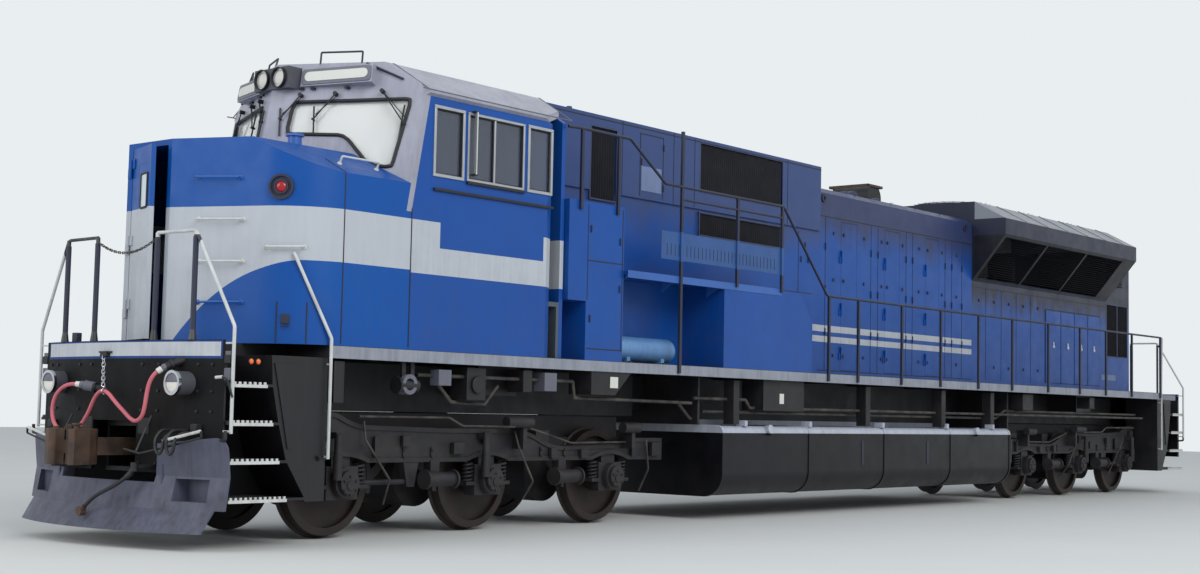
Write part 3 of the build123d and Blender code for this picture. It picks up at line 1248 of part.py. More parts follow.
# Brake hose hanging from its angle cock, with the coupling at its free end
hose_radius = 18
hose_points = [
    (11790, 545, rail + 600), (11822, 500, rail + 556), (11846, 432, rail + 512),
    (11860, 340, rail + 475), (11868, 235, rail + 435), (11872, 130, rail + 380),
    (11872, 45, rail + 318),
]
with BuildPart() as brake_hose:
    hose(hose_points, hose_radius)
save(brake_hose.part, "brake_hose")
with BuildPart() as hose_coupling:
    tip = Vector(*hose_points[-1])
    lead = (tip - Vector(*hose_points[-2])).normalized()
    rod(tip, tip + lead * 60, 24)
    rod((11840, -10, rail + 272), (11900, -10, rail + 272), 42)
save(hose_coupling.part, "hose_coupling")

# Angle cock of the brake pipe and two pairs of looped control hoses beside the coupler
with BuildPart() as air_fittings:
    rod((front_end_x + 100, 590, rail + 690), (11740, 590, rail + 690), 26)
    cock_end = Vector(*hose_points[0])
    cock_lead = (cock_end - Vector(*hose_points[1])).normalized()
    rod((11740, 590, rail + 690), cock_end + cock_lead * 30, 26)
    rod(cock_end, cock_end + cock_lead * 60, 26)
    rod((11740, 590, rail + 652), (11740, 590, rail + 732), 34)
    # Two hoses that loop back below their own start, in the plow's notch
    reach = plate_front_x(0) - 20
    for low_y in (-470, -590):
        seat_x = plate_front_x(low_y) - 10
        hose([(seat_x, low_y, rail + 850), (reach + 130, low_y - 30, rail + 850),
              (reach + 230, low_y - 60, rail + 790), (reach + 240, low_y - 40, rail + 710),
              (reach + 170, low_y - 10, rail + 665), (seat_x, low_y, rail + 670)], 14)
    # Two hoses that hang over the plow's left wing
    for low_y in (880, 1040):
        seat_x = plate_front_x(low_y) - 10
        hang_x = reach + 190
        hose([(seat_x, low_y, rail + 1030), (hang_x - 60, low_y, rail + 1030), (hang_x, low_y, rail + 950),
              (hang_x, low_y + 5, rail + 860), (hang_x, low_y + 60, rail + 805),
              (hang_x, low_y + 115, rail + 860), (hang_x, low_y + 120, rail + 950),
              (hang_x - 70, low_y + 125, rail + 1010), (seat_x - 20, low_y + 125, rail + 1010)], 14)
    add(end_plates.part, mode=Mode.SUBTRACT)
save(air_fittings.part, "air_fittings")
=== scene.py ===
# A six-axle road diesel locomotive with a wide nose, in blue enamel with pale bands.
import math

import bmesh
import bpy
from mathutils import Matrix, Vector


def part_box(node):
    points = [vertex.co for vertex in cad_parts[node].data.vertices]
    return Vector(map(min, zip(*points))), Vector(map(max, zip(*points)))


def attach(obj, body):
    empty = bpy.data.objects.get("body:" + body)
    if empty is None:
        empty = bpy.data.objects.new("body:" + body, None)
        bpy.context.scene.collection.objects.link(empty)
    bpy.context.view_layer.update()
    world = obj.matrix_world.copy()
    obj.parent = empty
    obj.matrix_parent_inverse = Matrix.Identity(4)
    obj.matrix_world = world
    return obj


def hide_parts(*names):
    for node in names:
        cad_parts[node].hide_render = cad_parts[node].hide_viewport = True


print("loading the frame")
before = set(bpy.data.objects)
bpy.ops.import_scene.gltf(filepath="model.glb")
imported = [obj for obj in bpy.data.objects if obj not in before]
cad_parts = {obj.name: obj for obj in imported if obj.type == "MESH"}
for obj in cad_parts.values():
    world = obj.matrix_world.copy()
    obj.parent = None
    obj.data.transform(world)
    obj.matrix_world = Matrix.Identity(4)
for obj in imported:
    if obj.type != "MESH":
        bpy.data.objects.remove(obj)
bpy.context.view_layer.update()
# Heights in the tables are above the rail, which lies this high in the frame
railTop = 0.028

# Where the photographer stood: metres ahead, to the left and above the frame's floor
cameraSpot = {
    "place": (20.819, 13.406, 1.294),
    "yaw": 219.407,
    "pitch": 4.258,
    "roll": 1.186,
    "lens": 50.45,
    "sensor": 36,
}


def newObject(name, data):
    made = bpy.data.objects.new(name, data)
    bpy.context.collection.objects.link(made)
    return made


def addCamera():
    yaw, pitch, roll = (math.radians(cameraSpot[key]) for key in ("yaw", "pitch", "roll"))
    ahead = Vector((math.cos(yaw) * math.cos(pitch), math.sin(yaw) * math.cos(pitch), math.sin(pitch)))
    right = Vector((math.sin(yaw), -math.cos(yaw), 0))
    up = right.cross(ahead)
    rolledRight = right * math.cos(roll) + up * math.sin(roll)
    rolledUp = up * math.cos(roll) - right * math.sin(roll)
    camera = newObject("camera", bpy.data.cameras.new("camera"))
    turn = Matrix((rolledRight, rolledUp, -ahead)).transposed().to_4x4()
    camera.matrix_world = Matrix.Translation(cameraSpot["place"]) @ turn
    camera.data.lens = cameraSpot["lens"]
    camera.data.sensor_width = cameraSpot["sensor"]
    camera.data.clip_end = 200
    bpy.context.scene.camera = camera


def linear(hexText):
    # sRGB hex to the linear colour that shaders take
    channels = [int(hexText[i:i + 2], 16) / 255 for i in (1, 3, 5)]
    curved = [c / 12.92 if c <= 0.04045 else ((c + 0.055) / 1.055) ** 2.4 for c in channels]
    return (*curved, 1)


def addNode(tree, kind, settings=None, links=None):
    # A link comes from a socket, or from a node's first output
    node = tree.nodes.new("ShaderNode" + kind)
    for name, value in (settings or {}).items():
        if isinstance(name, str) and hasattr(node, name):
            setattr(node, name, value)
        else:
            node.inputs[name].default_value = value
    for name, source in (links or {}).items():
        tree.links.new(getattr(source, "outputs", [source])[0], node.inputs[name])
    return node


def startFinish(name):
    material = bpy.data.materials.new(name)
    material.use_nodes = True
    tree = material.node_tree
    tree.nodes.clear()
    return material, tree, addNode(tree, "TexCoord").outputs["Object"]


def endFinish(material, settings, links):
    shader = addNode(material.node_tree, "BsdfPrincipled", settings, links)
    addNode(material.node_tree, "OutputMaterial", links={"Surface": shader})
    return material


def twoTones(tree, place, tones, scale, detail):
    # Sun and dust fade every finish unevenly, in blotches of two tones
    blots = addNode(tree, "TexNoise", {"Scale": scale, "Detail": detail}, {"Vector": place})
    return addNode(tree, "MixRGB", {"Color1": linear(tones[0]), "Color2": linear(tones[1])}, {"Fac": blots})


def paintAreas(tree, place, colour, areas):
    # Boxes of another colour: low corner, high corner, colour
    for low, high, hexText in areas:
        low, high = ((x, y, z + railTop) for x, y, z in (low, high))
        middle = [(a + b) / 2 for a, b in zip(low, high)]
        half = [(b - a) / 2 for a, b in zip(low, high)]
        shifted = addNode(tree, "VectorMath", {"operation": "SUBTRACT", 1: middle}, {0: place})
        distance = addNode(tree, "VectorMath", {"operation": "ABSOLUTE"}, {0: shifted})
        over = addNode(tree, "VectorMath", {"operation": "SUBTRACT", 1: half}, {0: distance})
        axes = addNode(tree, "SeparateXYZ", links={0: over})
        wide = addNode(tree, "Math", {"operation": "MAXIMUM"}, {0: axes, 1: axes.outputs[1]})
        most = addNode(tree, "Math", {"operation": "MAXIMUM"}, {0: wide, 1: axes.outputs[2]})
        inside = addNode(tree, "Math", {"operation": "LESS_THAN", 1: 0}, {0: most})
        colour = addNode(tree, "MixRGB", {"Color2": linear(hexText)}, {"Fac": inside, "Color1": colour})
    return colour


noseSwoop = {
    # The pale band's lower edge curves down to the foot of the nose's front
    "from": 10.45,
    "to": 11.086,
    "power": 2.84,
    "drop": 0.757,
    "low": 2.625,
    "high": 3.13,
}
bodyPale = "#B4B9C0"


def paintSwoop(tree, axes, colour):
    past = addNode(tree, "MapRange", {"From Min": noseSwoop["from"], "From Max": noseSwoop["to"]}, {"Value": axes})
    curved = addNode(tree, "Math", {"operation": "POWER", 1: noseSwoop["power"]}, {0: past})
    edge = addNode(tree, "Math", {"operation": "MULTIPLY_ADD", 1: noseSwoop["drop"]}, {0: curved, 2: axes.outputs[2]})
    above = addNode(tree, "Math", {"operation": "GREATER_THAN", 1: railTop + noseSwoop["low"]}, {0: edge})
    below = addNode(tree, "Math", {"operation": "LESS_THAN", 1: railTop + noseSwoop["high"]}, {0: axes.outputs[2]})
    both = addNode(tree, "Math", {"operation": "MULTIPLY"}, {0: above, 1: below})
    return addNode(tree, "MixRGB", {"Color2": linear(bodyPale)}, {"Fac": both, "Color1": colour})


def enamel(name, tones, dirtHex, dirt, rough, wave=0.2, low=0, high=5, shine=0.5, fade=(2, 5), areas=(), soot=None,
           swoop=False):
    # Satin enamel that has faded unevenly and holds road dust
    material, tree, place = startFinish(name)
    axes = addNode(tree, "SeparateXYZ", links={0: place})
    colour = twoTones(tree, place, tones, *fade)
    if soot:
        # Exhaust soot: its lower edge is ragged, since rain washes it down the doors
        sootHeight, sootHex, sootMost = soot
        ragged = addNode(tree, "Mapping", {"Scale": (3.5, 3.5, 0.6)}, {"Vector": place})
        edge = addNode(tree, "TexNoise", {"Scale": 1.6, "Detail": 6, "Roughness": 0.6}, {"Vector": ragged})
        height = addNode(tree, "Math", {"operation": "MULTIPLY_ADD", 1: 0.9}, {0: edge, 2: axes.outputs[2]})
        share = addNode(tree, "MapRange", {"From Min": railTop + sootHeight + 0.35, "To Max": sootMost,
                                           "From Max": railTop + sootHeight + 0.75}, {"Value": height})
        colour = addNode(tree, "MixRGB", {"Color2": linear(sootHex)}, {"Fac": share, "Color1": colour})
    colour = paintAreas(tree, place, colour, areas)
    if swoop:
        colour = paintSwoop(tree, axes, colour)
    # Grime in patches about 300 mm across and in rain streaks, thicker toward the foot
    patches = addNode(tree, "TexNoise", {"Scale": 3.3, "Detail": 6, "Roughness": 0.65}, {"Vector": place})
    stretched = addNode(tree, "Mapping", {"Scale": (9, 9, 0.7)}, {"Vector": place})
    streak = addNode(tree, "TexNoise", {"Scale": 2.2, "Detail": 5}, {"Vector": stretched})
    blend = addNode(tree, "Math", {"operation": "MULTIPLY"}, {0: patches, 1: streak})
    spread = addNode(tree, "MapRange", {"From Min": 0.16, "From Max": 0.42, "To Max": dirt}, {"Value": blend})
    band = addNode(tree, "MapRange", {"From Min": low, "From Max": high, "To Min": 1, "To Max": 0.35},
                   {"Value": axes.outputs[2]})
    share = addNode(tree, "Math", {"operation": "MULTIPLY", "use_clamp": True}, {0: spread, 1: band})
    dirty = addNode(tree, "MixRGB", {"Color2": linear(dirtHex)}, {"Fac": share, "Color1": colour})
    gloss = addNode(tree, "MapRange", {"From Min": 0.3, "From Max": 0.7, "To Min": rough[0], "To Max": rough[1]},
                    {"Value": patches})
    # Rolled sheet is never quite flat: waves about 400 mm long bend its reflections
    waves = addNode(tree, "TexNoise", {"Scale": 2.5, "Detail": 1}, {"Vector": place})
    bump = addNode(tree, "Bump", {"Strength": wave, "Distance": 0.01}, {"Height": waves})
    return endFinish(material, {"Specular IOR Level": shine},
                     {"Base Color": dirty, "Roughness": gloss, "Normal": bump})


def blueEnamel(name, tones=("#0A4492", "#134F9E"), dirt=0.26, **extras):
    # Alkyd enamel sprayed on steel sheet: a soft shine broken by dust and diesel soot
    return enamel(name, tones, "#44464F", dirt, (0.28, 0.5), 0.25, 1.9, 3.4, 0.28, (1.1, 3), **extras)


def castSteel(name, tones, metal, grain=0.35):
    # Sand-cast steel: a skin with grain drawn 8 mm coarse to show, dark where oil has soaked the dust
    material, tree, place = startFinish(name)
    oil = addNode(tree, "TexNoise", {"Scale": 5, "Detail": 8, "Roughness": 0.6}, {"Vector": place})
    tint = addNode(tree, "MapRange", {"From Min": 0.38, "From Max": 0.66}, {"Value": oil})
    colour = addNode(tree, "MixRGB", {"Color1": linear(tones[0]), "Color2": linear(tones[1])}, {"Fac": tint})
    rough = addNode(tree, "MapRange", {"To Min": 0.45, "To Max": 0.8}, {"Value": oil})
    grit = addNode(tree, "TexNoise", {"Scale": 120, "Detail": 3}, {"Vector": place})
    bump = addNode(tree, "Bump", {"Strength": grain, "Distance": 0.003}, {"Height": grit})
    return endFinish(material, {"Metallic": metal}, {"Base Color": colour, "Roughness": rough, "Normal": bump})


def smoothFinish(name, tones, roughness, metallic=0, grain=(60, 0.1)):
    # Plastic, rubber and bare metal: slight blotches and a fine surface
    material, tree, place = startFinish(name)
    colour = twoTones(tree, place, tones, 7, 4)
    fine = addNode(tree, "TexNoise", {"Scale": grain[0], "Detail": 2}, {"Vector": place})
    bump = addNode(tree, "Bump", {"Strength": grain[1], "Distance": 0.002}, {"Height": fine})
    return endFinish(material, {"Roughness": roughness, "Metallic": metallic}, {"Base Color": colour, "Normal": bump})


def dullFinish(name, tones, fade, settings):
    # Dust that lies evenly over the surface and takes its shine away
    material, tree, place = startFinish(name)
    return endFinish(material, settings, {"Base Color": twoTones(tree, place, tones, *fade)})


def cabGlass(name, frontFrom):
    # Laminated safety glass: clear at the sides, and pale on the front panes with a film of dust and a painted sky
    # reflection
    material, tree, place = startFinish(name)
    dust = addNode(tree, "TexNoise", {"Scale": 4, "Detail": 5}, {"Vector": place})
    film = addNode(tree, "MapRange", {"To Min": 0.02, "To Max": 0.14}, {"Value": dust})
    axes = addNode(tree, "SeparateXYZ", links={0: place})
    front = addNode(tree, "MapRange", {"From Min": frontFrom, "From Max": frontFrom + 0.01}, {"Value": axes})
    # The pale tint of the front panes is a painted sky reflection
    tint = addNode(tree, "MixRGB", {"Color1": linear("#BDC7DB"), "Color2": linear("#F1F2EE")}, {"Fac": front})
    clear = addNode(tree, "MapRange", {"To Min": 0.92, "To Max": 0.32}, {"Value": front})
    return endFinish(material, {"IOR": 1.45},
                     {"Base Color": tint, "Roughness": film, "Transmission Weight": clear})


cabBands = [
    ((-12, -2, 2.6), (12, 2, 2.87), bodyPale),
    ((8.87, -2, 2.8), (12, 2, 3.13), bodyPale),
    ((-12, -2, 2.8), (7.3, 2, 3.13), bodyPale),
]
hoodStripes = [((-4.03, 0.5, low), (1.06, 1.2, high), bodyPale) for low, high in ((2.455, 2.545), (2.31, 2.395))]
sillStripes = [((low, side, 1.705), (high, side + 0.3, 1.835), "#8F949F")
               for low, high in ((-10.22, 4.9), (4.9, 10.272)) for side in (1.49, -1.79)]
plateStripes = [
    ((-13, -1.33, 1.672), (13, 1.36, 1.835), "#26427E"),
    ((-13, -1.31, 1.695), (13, 1.34, 1.822), "#BFC3C8"),
]
darkPosts = [((x - 0.12, y - 0.07, 1.8), (x + 0.12, y + 0.07, 2.79), "#181C24")
             for x in (11.5, -11.5) for y in (0.47, 1, -0.47, -1)]
darkPosts.append(((11.3, -1.06, 1.8), (11.7, -0.4, 2.9), "#181C24"))
guardPanels = [((2.7, side, 3.06), (5.35, side + 0.2, 3.41), "#24508C") for side in (1.5, -1.7)]
# The flared wings: black under the lips, soot with painted shade, and pale panels on the slope of the roof, dust with a
# painted highlight
wingPaintedShadeAndHighlight = [area for side in (1, -1) for area in (
    ((-9.2, side * 1.27 - 0.33, 3.42), (-3.6, side * 1.27 + 0.33, 4.226), "#1B1B22"),
    ((-9.2, side * 1.22 - 0.262, 4.49), (-3.6, side * 1.22 + 0.262, 4.9), "#868A92"))]
finishes = {
    # Material slot, material, and the nodes that wear it
    "noseBlue": ("blue_paint", blueEnamel("blueEnamelNose", ("#004696", "#00519F"), 0.12, swoop=True),
                 "nose_shell", "nose_door"),
    "cabBlue": ("blue_paint", blueEnamel("blueEnamelCab", areas=cabBands),
                "cab_sides", "cab_rear_wall", "cab_rear_door"),
    "lockerBlue": ("blue_paint", blueEnamel("blueEnamelLockers"), "side_lockers"),
    "cabinetBlue": ("blue_paint", blueEnamel("blueEnamelCabinet", areas=hoodStripes, soot=(3.55, "#394568", 0.75)),
                    "equipment_cabinet"),
    "hoodBlue": ("blue_paint", blueEnamel("blueEnamelHood", areas=hoodStripes, soot=(3.75, "#31354F", 0.85)),
                 "engine_hood", *["hood_door_%s_%d" % (side, k) for side in ("left", "right") for k in (1, 2, 3)]),
    "housingBlue": ("blue_paint", blueEnamel("blueEnamelHousing", areas=wingPaintedShadeAndHighlight, soot=(3.05, "#232430", 0.95)),
                    "radiator_housing"),
    # Air reservoir: blotches of faded enamel, whose lighter tone is a painted highlight
    "reservoir": ("blue_paint", enamel("reservoirBlueFadedPaintedHighlight", ("#3F72B0", "#6B97C2"), "#4A5568", 0.4, (0.25, 0.45)),
                  "air_reservoir"),
    "plainBlue": ("blue_paint", enamel("blueEnamelIrons", ("#2358A4", "#2C62B0"), "#4C4A50", 0.4, (0.3, 0.5))),
    "sootyBlue": ("blue_paint", enamel("blueEnamelSooty", ("#2A3252", "#333B5C"), "#2A2A30", 0.5, (0.4, 0.6))),
    "palePlate": ("blue_paint", enamel("faintPatchPaint", ("#7484A8", "#66779F"), "#4A4A54", 0.5, (0.4, 0.6))),
    "sillBlack": ("black_paint", enamel("blackEnamelSill", ("#0A0A10", "#101018"), "#272423", 0.45, (0.4, 0.6),
                                        areas=sillStripes), "underframe", "step_wells"),
    "plateBlack": ("black_paint", enamel("blackEnamelPlate", ("#08080A", "#0D0D10"), "#242120", 0.35, (0.45, 0.7),
                                         high=2.4, shine=0.15, areas=plateStripes), "end_plates"),
    "black": ("black_paint",
              enamel("blackEnamelDusty", ("#0E0E12", "#17171D"), "#332F2D", 0.5, (0.45, 0.7), high=2.6),
              "sill_boxes", "exhaust_stack", "air_fittings", "jumper_sockets", "engine_block"),
    "navy": ("black_paint",
             enamel("navyEnamel", ("#171C30", "#1E2540"), "#3A3838", 0.4, (0.4, 0.6), areas=guardPanels),
             "side_handrails"),
    # The pale band along the tank's top edge is a painted highlight
    "tank": ("black_paint", enamel("tankEnamelSootyPaintedHighlight", ("#07070E", "#0C0C15"), "#1F1C1B", 0.35, (0.3, 0.5), high=2,
                                   shine=0.3, areas=[((-4, -2, 1.045), (4, 2, 1.2), "#B4B9C6")]), "fuel_tank"),
    "lampHousing": ("black_paint", enamel("wornLampHousing", ("#2B2C35", "#62636C"), "#45403C", 0.4, (0.4, 0.6)),
                    "lamps"),
    "railWhite": ("white_paint", enamel("whiteEnamelRails", ("#D3D6D4", "#C2C5C6"), "#7D776F", 0.5, (0.35, 0.55),
                                        areas=darkPosts), "end_handrails"),
    "white": ("white_paint", enamel("whiteEnamel", ("#D3D6D4", "#C6C8C6"), "#8B857B", 0.5, (0.35, 0.55))),
    "cabGrey": ("grey_paint",
                enamel("greyEnamelCab", ("#9294A4", "#A4A6B2"), "#6F6D76", 0.5, (0.3, 0.5), low=3, high=6),
                "cab_front", "cab_roof", "number_boards"),
    "greyDark": ("grey_paint", enamel("greyEnamelSooty", ("#5D5E6C", "#6B6C78"), "#4A484E", 0.4, (0.35, 0.55))),
    "plow": ("plow_paint",
             enamel("wornPlowPaint", ("#3B3D4E", "#5C5F73"), "#2C292A", 0.75, (0.45, 0.7), 0.6, high=1.2),
             "snow_plow"),
    "interior": ("cab_interior", enamel("interiorEnamel", ("#4B5560", "#454F59"), "#3A3A38", 0.3, (0.45, 0.6)),
                 "cab_floor", "control_desks"),
    "cast": ("black_paint", castSteel("castSteelOiled", ("#1A1A20", "#302C2C"), 0.1),
             *[part + end for part in ("truck_frame_", "axle_boxes_", "traction_motors_")
               for end in ("front", "rear")]),
    "rusty": ("cast_steel", castSteel("castSteelRusted", ("#3A2F29", "#5C4638"), 0.25, 0.5),
              "coupler_front", "coupler_rear", "hose_coupling", "jumper_chain"),
    "pipe": ("black_paint", castSteel("steelPipeDusty", ("#2C2A2C", "#5A544C"), 0.2, 0.15)),
    # Rolled steel wheels: brown dust on the web, with a dull shine where the rail rubs the tread
    "wheel": ("wheel_steel", dullFinish("rolledSteelWheel", ("#1A1718", "#3A2E29"), (6, 7),
                                        {"Metallic": 0.35, "Roughness": 0.55}),
              *["wheelset_%d" % k for k in range(1, 7)]),
    "aluminium": ("fan_metal", smoothFinish("milledAluminium", ("#A9ABB0", "#8B8E94"), 0.42, 0.9),
                  "radiator_fan_1", "radiator_fan_2", "radiator_fan_3", "air_horn"),
    "windowMetal": ("fan_metal", smoothFinish("anodisedAluminium", ("#B9BCC0", "#9EA1A6"), 0.38, 0.6)),
    "bright": ("horn_metal", smoothFinish("chromedSteel", ("#C9CBD0", "#C9CBD0"), 0.16, 1)),
    "mesh": ("grille_metal", smoothFinish("darkGrilleMesh", ("#15151B", "#2A2A32"), 0.65, 0.3, (300, 0.5)),
             "grilles"),
    "glass": ("window_glass", cabGlass("laminatedGlass", 9.02), "cab_windows"),
    # The door window's pane is opaque, its pale colour a painted sky reflection
    "skyPane": ("window_glass", smoothFinish("paneWithPaintedSkyReflection", ("#C9D3D8", "#C9D3D8"), 0.08)),
    "redLens": ("lamp_glass", smoothFinish("redMarkerGlass", ("#A01420", "#A01420"), 0.12)),
    "orangeLens": ("lamp_glass", smoothFinish("orangeLampGlass", ("#F2702A", "#F2702A"), 0.25)),
    "whiteLens": ("lamp_glass", smoothFinish("frostedLampGlass", ("#E3E0D6", "#E3E0D6"), 0.25)),
    "vinyl": ("seat_vinyl", smoothFinish("seatVinyl", ("#17181B", "#24262A"), 0.5, grain=(220, 0.4)), "cab_seats"),
    "redRubber": ("cable_rubber", smoothFinish("salmonCableRubber", ("#D0707A", "#B85A66"), 0.55, grain=(140, 0.35)),
                  "jumper_cable"),
    "rubber": ("hose_rubber", smoothFinish("blackHoseRubber", ("#121214", "#1E1E20"), 0.6, grain=(140, 0.35)),
               "brake_hose"),
    "board": ("white_paint", smoothFinish("whiteBoardPlastic", ("#D9DAD2", "#CBCCC4"), 0.4)),
}
print("painting the nodes")
for slotName, material, *nodeNames in finishes.values():
    for nodeName in nodeNames:
        bpy.data.objects[nodeName].data.materials.clear()
        bpy.data.objects[nodeName].data.materials.append(material)


def dress(piece, finish, body, replaced=()):
    slotName, material = finishes[finish][:2]
    piece.data.materials.append(material)
    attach(piece, body)
    if replaced:
        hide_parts(*replaced)


def finishPiece(bm, name, finish, body="underframe", replaced=(), bevel=0):
    mesh = bpy.data.meshes.new(name)
    bmesh.ops.recalc_face_normals(bm, faces=bm.faces)
    bm.to_mesh(mesh)
    bm.free()
    mesh.shade_smooth()
    mesh.set_sharp_from_angle(angle=math.radians(35))
    piece = newObject(name, mesh)
    if bevel:
        modifier = piece.modifiers.new("bevel", "BEVEL")
        modifier.width = bevel
        modifier.segments = 2
        modifier.limit_method = "ANGLE"
    dress(piece, finish, body, replaced)


def raised(point):
    return Vector(point) + Vector((0, 0, railTop))


def flipped(point, side=-1):
    # The point on the left (1) or its mirror image on the right (-1)
    return Vector((point[0], side * point[1], point[2]))


def mirrored(points):
    return [flipped(point) for point in points]


def addBlock(bm, x0, x1, y0, y1, z0, z1, turn=Matrix()):
    # A box, turned about its own middle
    spans = ((x0, x1), (y0, y1), (z0 + railTop, z1 + railTop))
    matrix = Matrix.Translation([(a + b) / 2 for a, b in spans]) @ turn
    matrix = matrix @ Matrix.Diagonal([abs(b - a) for a, b in spans] + [1])
    return bmesh.ops.create_cube(bm, size=1, matrix=matrix)["verts"]


def facing(centre, axis):
    # A place whose Z points along the axis
    turn = Vector((0, 0, 1)).rotation_difference(Vector(axis)).to_matrix().to_4x4()
    return Matrix.Translation(raised(centre)) @ turn


def addPin(bm, start, end, radius, endRadius=None, segments=16):
    start, end = Vector(start), Vector(end)
    bmesh.ops.create_cone(bm, cap_ends=True, segments=segments, radius1=radius, radius2=endRadius or radius,
                          depth=(end - start).length, matrix=facing((start + end) / 2, end - start))


def roundCurve(name, routes, radius, roundness, steps):
    # Round cords or bars: the points of a route control its spline
    curve = bpy.data.curves.new(name, "CURVE")
    curve.dimensions = "3D"
    curve.bevel_depth = radius
    curve.bevel_resolution = roundness
    curve.resolution_u = steps
    curve.use_fill_caps = True
    for points in routes:
        spline = curve.splines.new("NURBS")
        spline.points.add(len(points) - 1)
        for spot, place in zip(spline.points, points):
            spot.co = (*place, 1)
        spline.use_endpoint_u = True
        spline.order_u = min(3, len(points))
    return newObject(name, curve)


def meshOnce(piece):
    # The curve's mesh; the curve's object goes
    mesh = bpy.data.meshes.new_from_object(piece.evaluated_get(bpy.context.evaluated_depsgraph_get()))
    bpy.data.objects.remove(piece)
    return mesh


def addBars(bm, routes, radius, bend=0.03):
    # Round bars bent to the given routes, joined to the mesh being built
    bent = []
    for route in routes:
        corners = [raised(point) for point in route]
        points = corners[:1]
        for before, corner, after in zip(corners, corners[1:], corners[2:]):
            points += [corner + (before - corner).normalized() * bend, corner,
                       corner + (after - corner).normalized() * bend]
        bent.append(points + corners[-1:])
    mesh = meshOnce(roundCurve("bars", bent, radius, 2, 4))
    bm.from_mesh(mesh)
    bpy.data.meshes.remove(mesh)


def addGrabIron(bm, start, end, outward, standoff=0.06, radius=0.011):
    # A bent bar with round feet on the sheet it is bolted to
    outward = Vector(outward).normalized() * standoff
    start, end = Vector(start), Vector(end)
    addBars(bm, [(start, start + outward, end + outward, end)], radius)
    for foot in (start, end):
        addPin(bm, foot, foot + outward * 0.2, radius * 2.4, radius * 1.8)


def addFittings(name, finish, body="underframe", blocks=(), pins=(), bars=(), radius=0.01, bend=0.03,
                bevel=0.003, mirror=True, replaced=()):
    # Small fittings from tables, on the left and also mirrored to the right: boxes, of which some are turned
    # by degrees about an axis, rods and bent bars
    bm = bmesh.new()
    for side in (1, -1) if mirror else (1,):
        for x0, x1, y0, y1, z0, z1, *turned in blocks:
            turn = Matrix.Rotation(side * math.radians(turned[0]), 4, turned[1]) if turned else Matrix()
            addBlock(bm, x0, x1, side * y0, side * y1, z0, z1, turn)
        for start, end, thickness in pins:
            addPin(bm, flipped(start, side), flipped(end, side), thickness)
    if bars:
        addBars(bm, [way for bar in bars for way in ([bar, mirrored(bar)] if mirror else [bar])], radius, bend)
    finishPiece(bm, name, finish, body, replaced, bevel)


def frameBars(x0, x1, z0, z1, width, y0, y1):
    # Four flat bars round an opening in a side wall
    return [(x0 - width, x1 + width, y0, y1, z0 - width, z0), (x0 - width, x1 + width, y0, y1, z1, z1 + width),
            (x0 - width, x0, y0, y1, z0, z1), (x1, x1 + width, y0, y1, z0, z1)]


def chainLinks(start, end, sag, count, size, wire):
    # Closed routes of the links of a hanging chain, each turned a quarter from the last
    start, end = Vector(start), Vector(end)
    spots = [start.lerp(end, k / count) - Vector((0, 0, 4 * sag * (k / count) * (1 - k / count)))
             for k in range(count + 1)]
    links = []
    for number, (a, b) in enumerate(zip(spots, spots[1:])):
        along = (b - a).normalized()
        across = along.cross(Vector((1, 0, 0)) if number % 2 else Vector((0, 0.3, 1))).normalized() * size
        middle, half = (a + b) / 2, along * ((b - a).length / 2 + wire)
        ring = [middle - half + across, middle + half + across, middle + half - across, middle - half - across]
        links.append([middle + across] + ring[1:] + ring[:1] + [middle + across])
    return links


jumperCable = {
    "diameter": 0.038,
    "finish": "redRubber",
    "node": "jumper_cable",
    "farEnd": "object",
    "stiffness": "medium",
    "withPieces": [],
    # Not above the rail: these points and the hose's are in the frame itself
    "points": [
        (11.64, -0.317, 1.44), (11.695, -0.385, 1.455), (11.72, -0.5, 1.458), (11.72, -0.64, 1.421),
        (11.722, -0.745, 1.328), (11.725, -0.775, 1.198), (11.726, -0.725, 1.078), (11.725, -0.61, 1.008),
        (11.725, -0.475, 0.998), (11.725, -0.345, 1.033), (11.726, -0.245, 1.108), (11.725, -0.16, 1.213),
        (11.725, -0.09, 1.328), (11.725, 0.005, 1.403), (11.725, 0.115, 1.388), (11.726, 0.245, 1.293),
        (11.725, 0.4, 1.198), (11.725, 0.48, 1.146), (11.726, 0.572, 1.123), (11.725, 0.655, 1.168),
        (11.726, 0.69, 1.256), (11.725, 0.708, 1.36), (11.725, 0.735, 1.468), (11.705, 0.775, 1.548),
        (11.665, 0.812, 1.598), (11.62, 0.835, 1.62),
    ],
}
brakeHose = {
    "diameter": 0.036,
    "finish": "rubber",
    "node": "brake_hose",
    "farEnd": "fitting",
    "stiffness": "stiff",
    "withPieces": ["hose_coupling"],
    "points": [
        (11.79, 0.545, 0.628), (11.822, 0.5, 0.584), (11.846, 0.432, 0.54), (11.86, 0.34, 0.503),
        (11.868, 0.235, 0.463), (11.872, 0.13, 0.408), (11.872, 0.045, 0.346),
    ],
}


def routeLength(piece):
    bare = piece.data.copy()
    bare.bevel_depth = 0
    spots = [spot.co for spot in meshOnce(newObject("probe", bare)).vertices]
    return sum((b - a).length for a, b in zip(spots, spots[1:]))


def addCords():
    print("laying the cable and the hose")
    for name, cord in (("jumperCable", jumperCable), ("brakeHose", brakeHose)):
        piece = roundCurve(name, [cord["points"]], cord["diameter"] / 2, 3, 8)
        dress(piece, cord["finish"], "underframe", [cord["node"]])
        round(routeLength(piece), 3)


addCords()


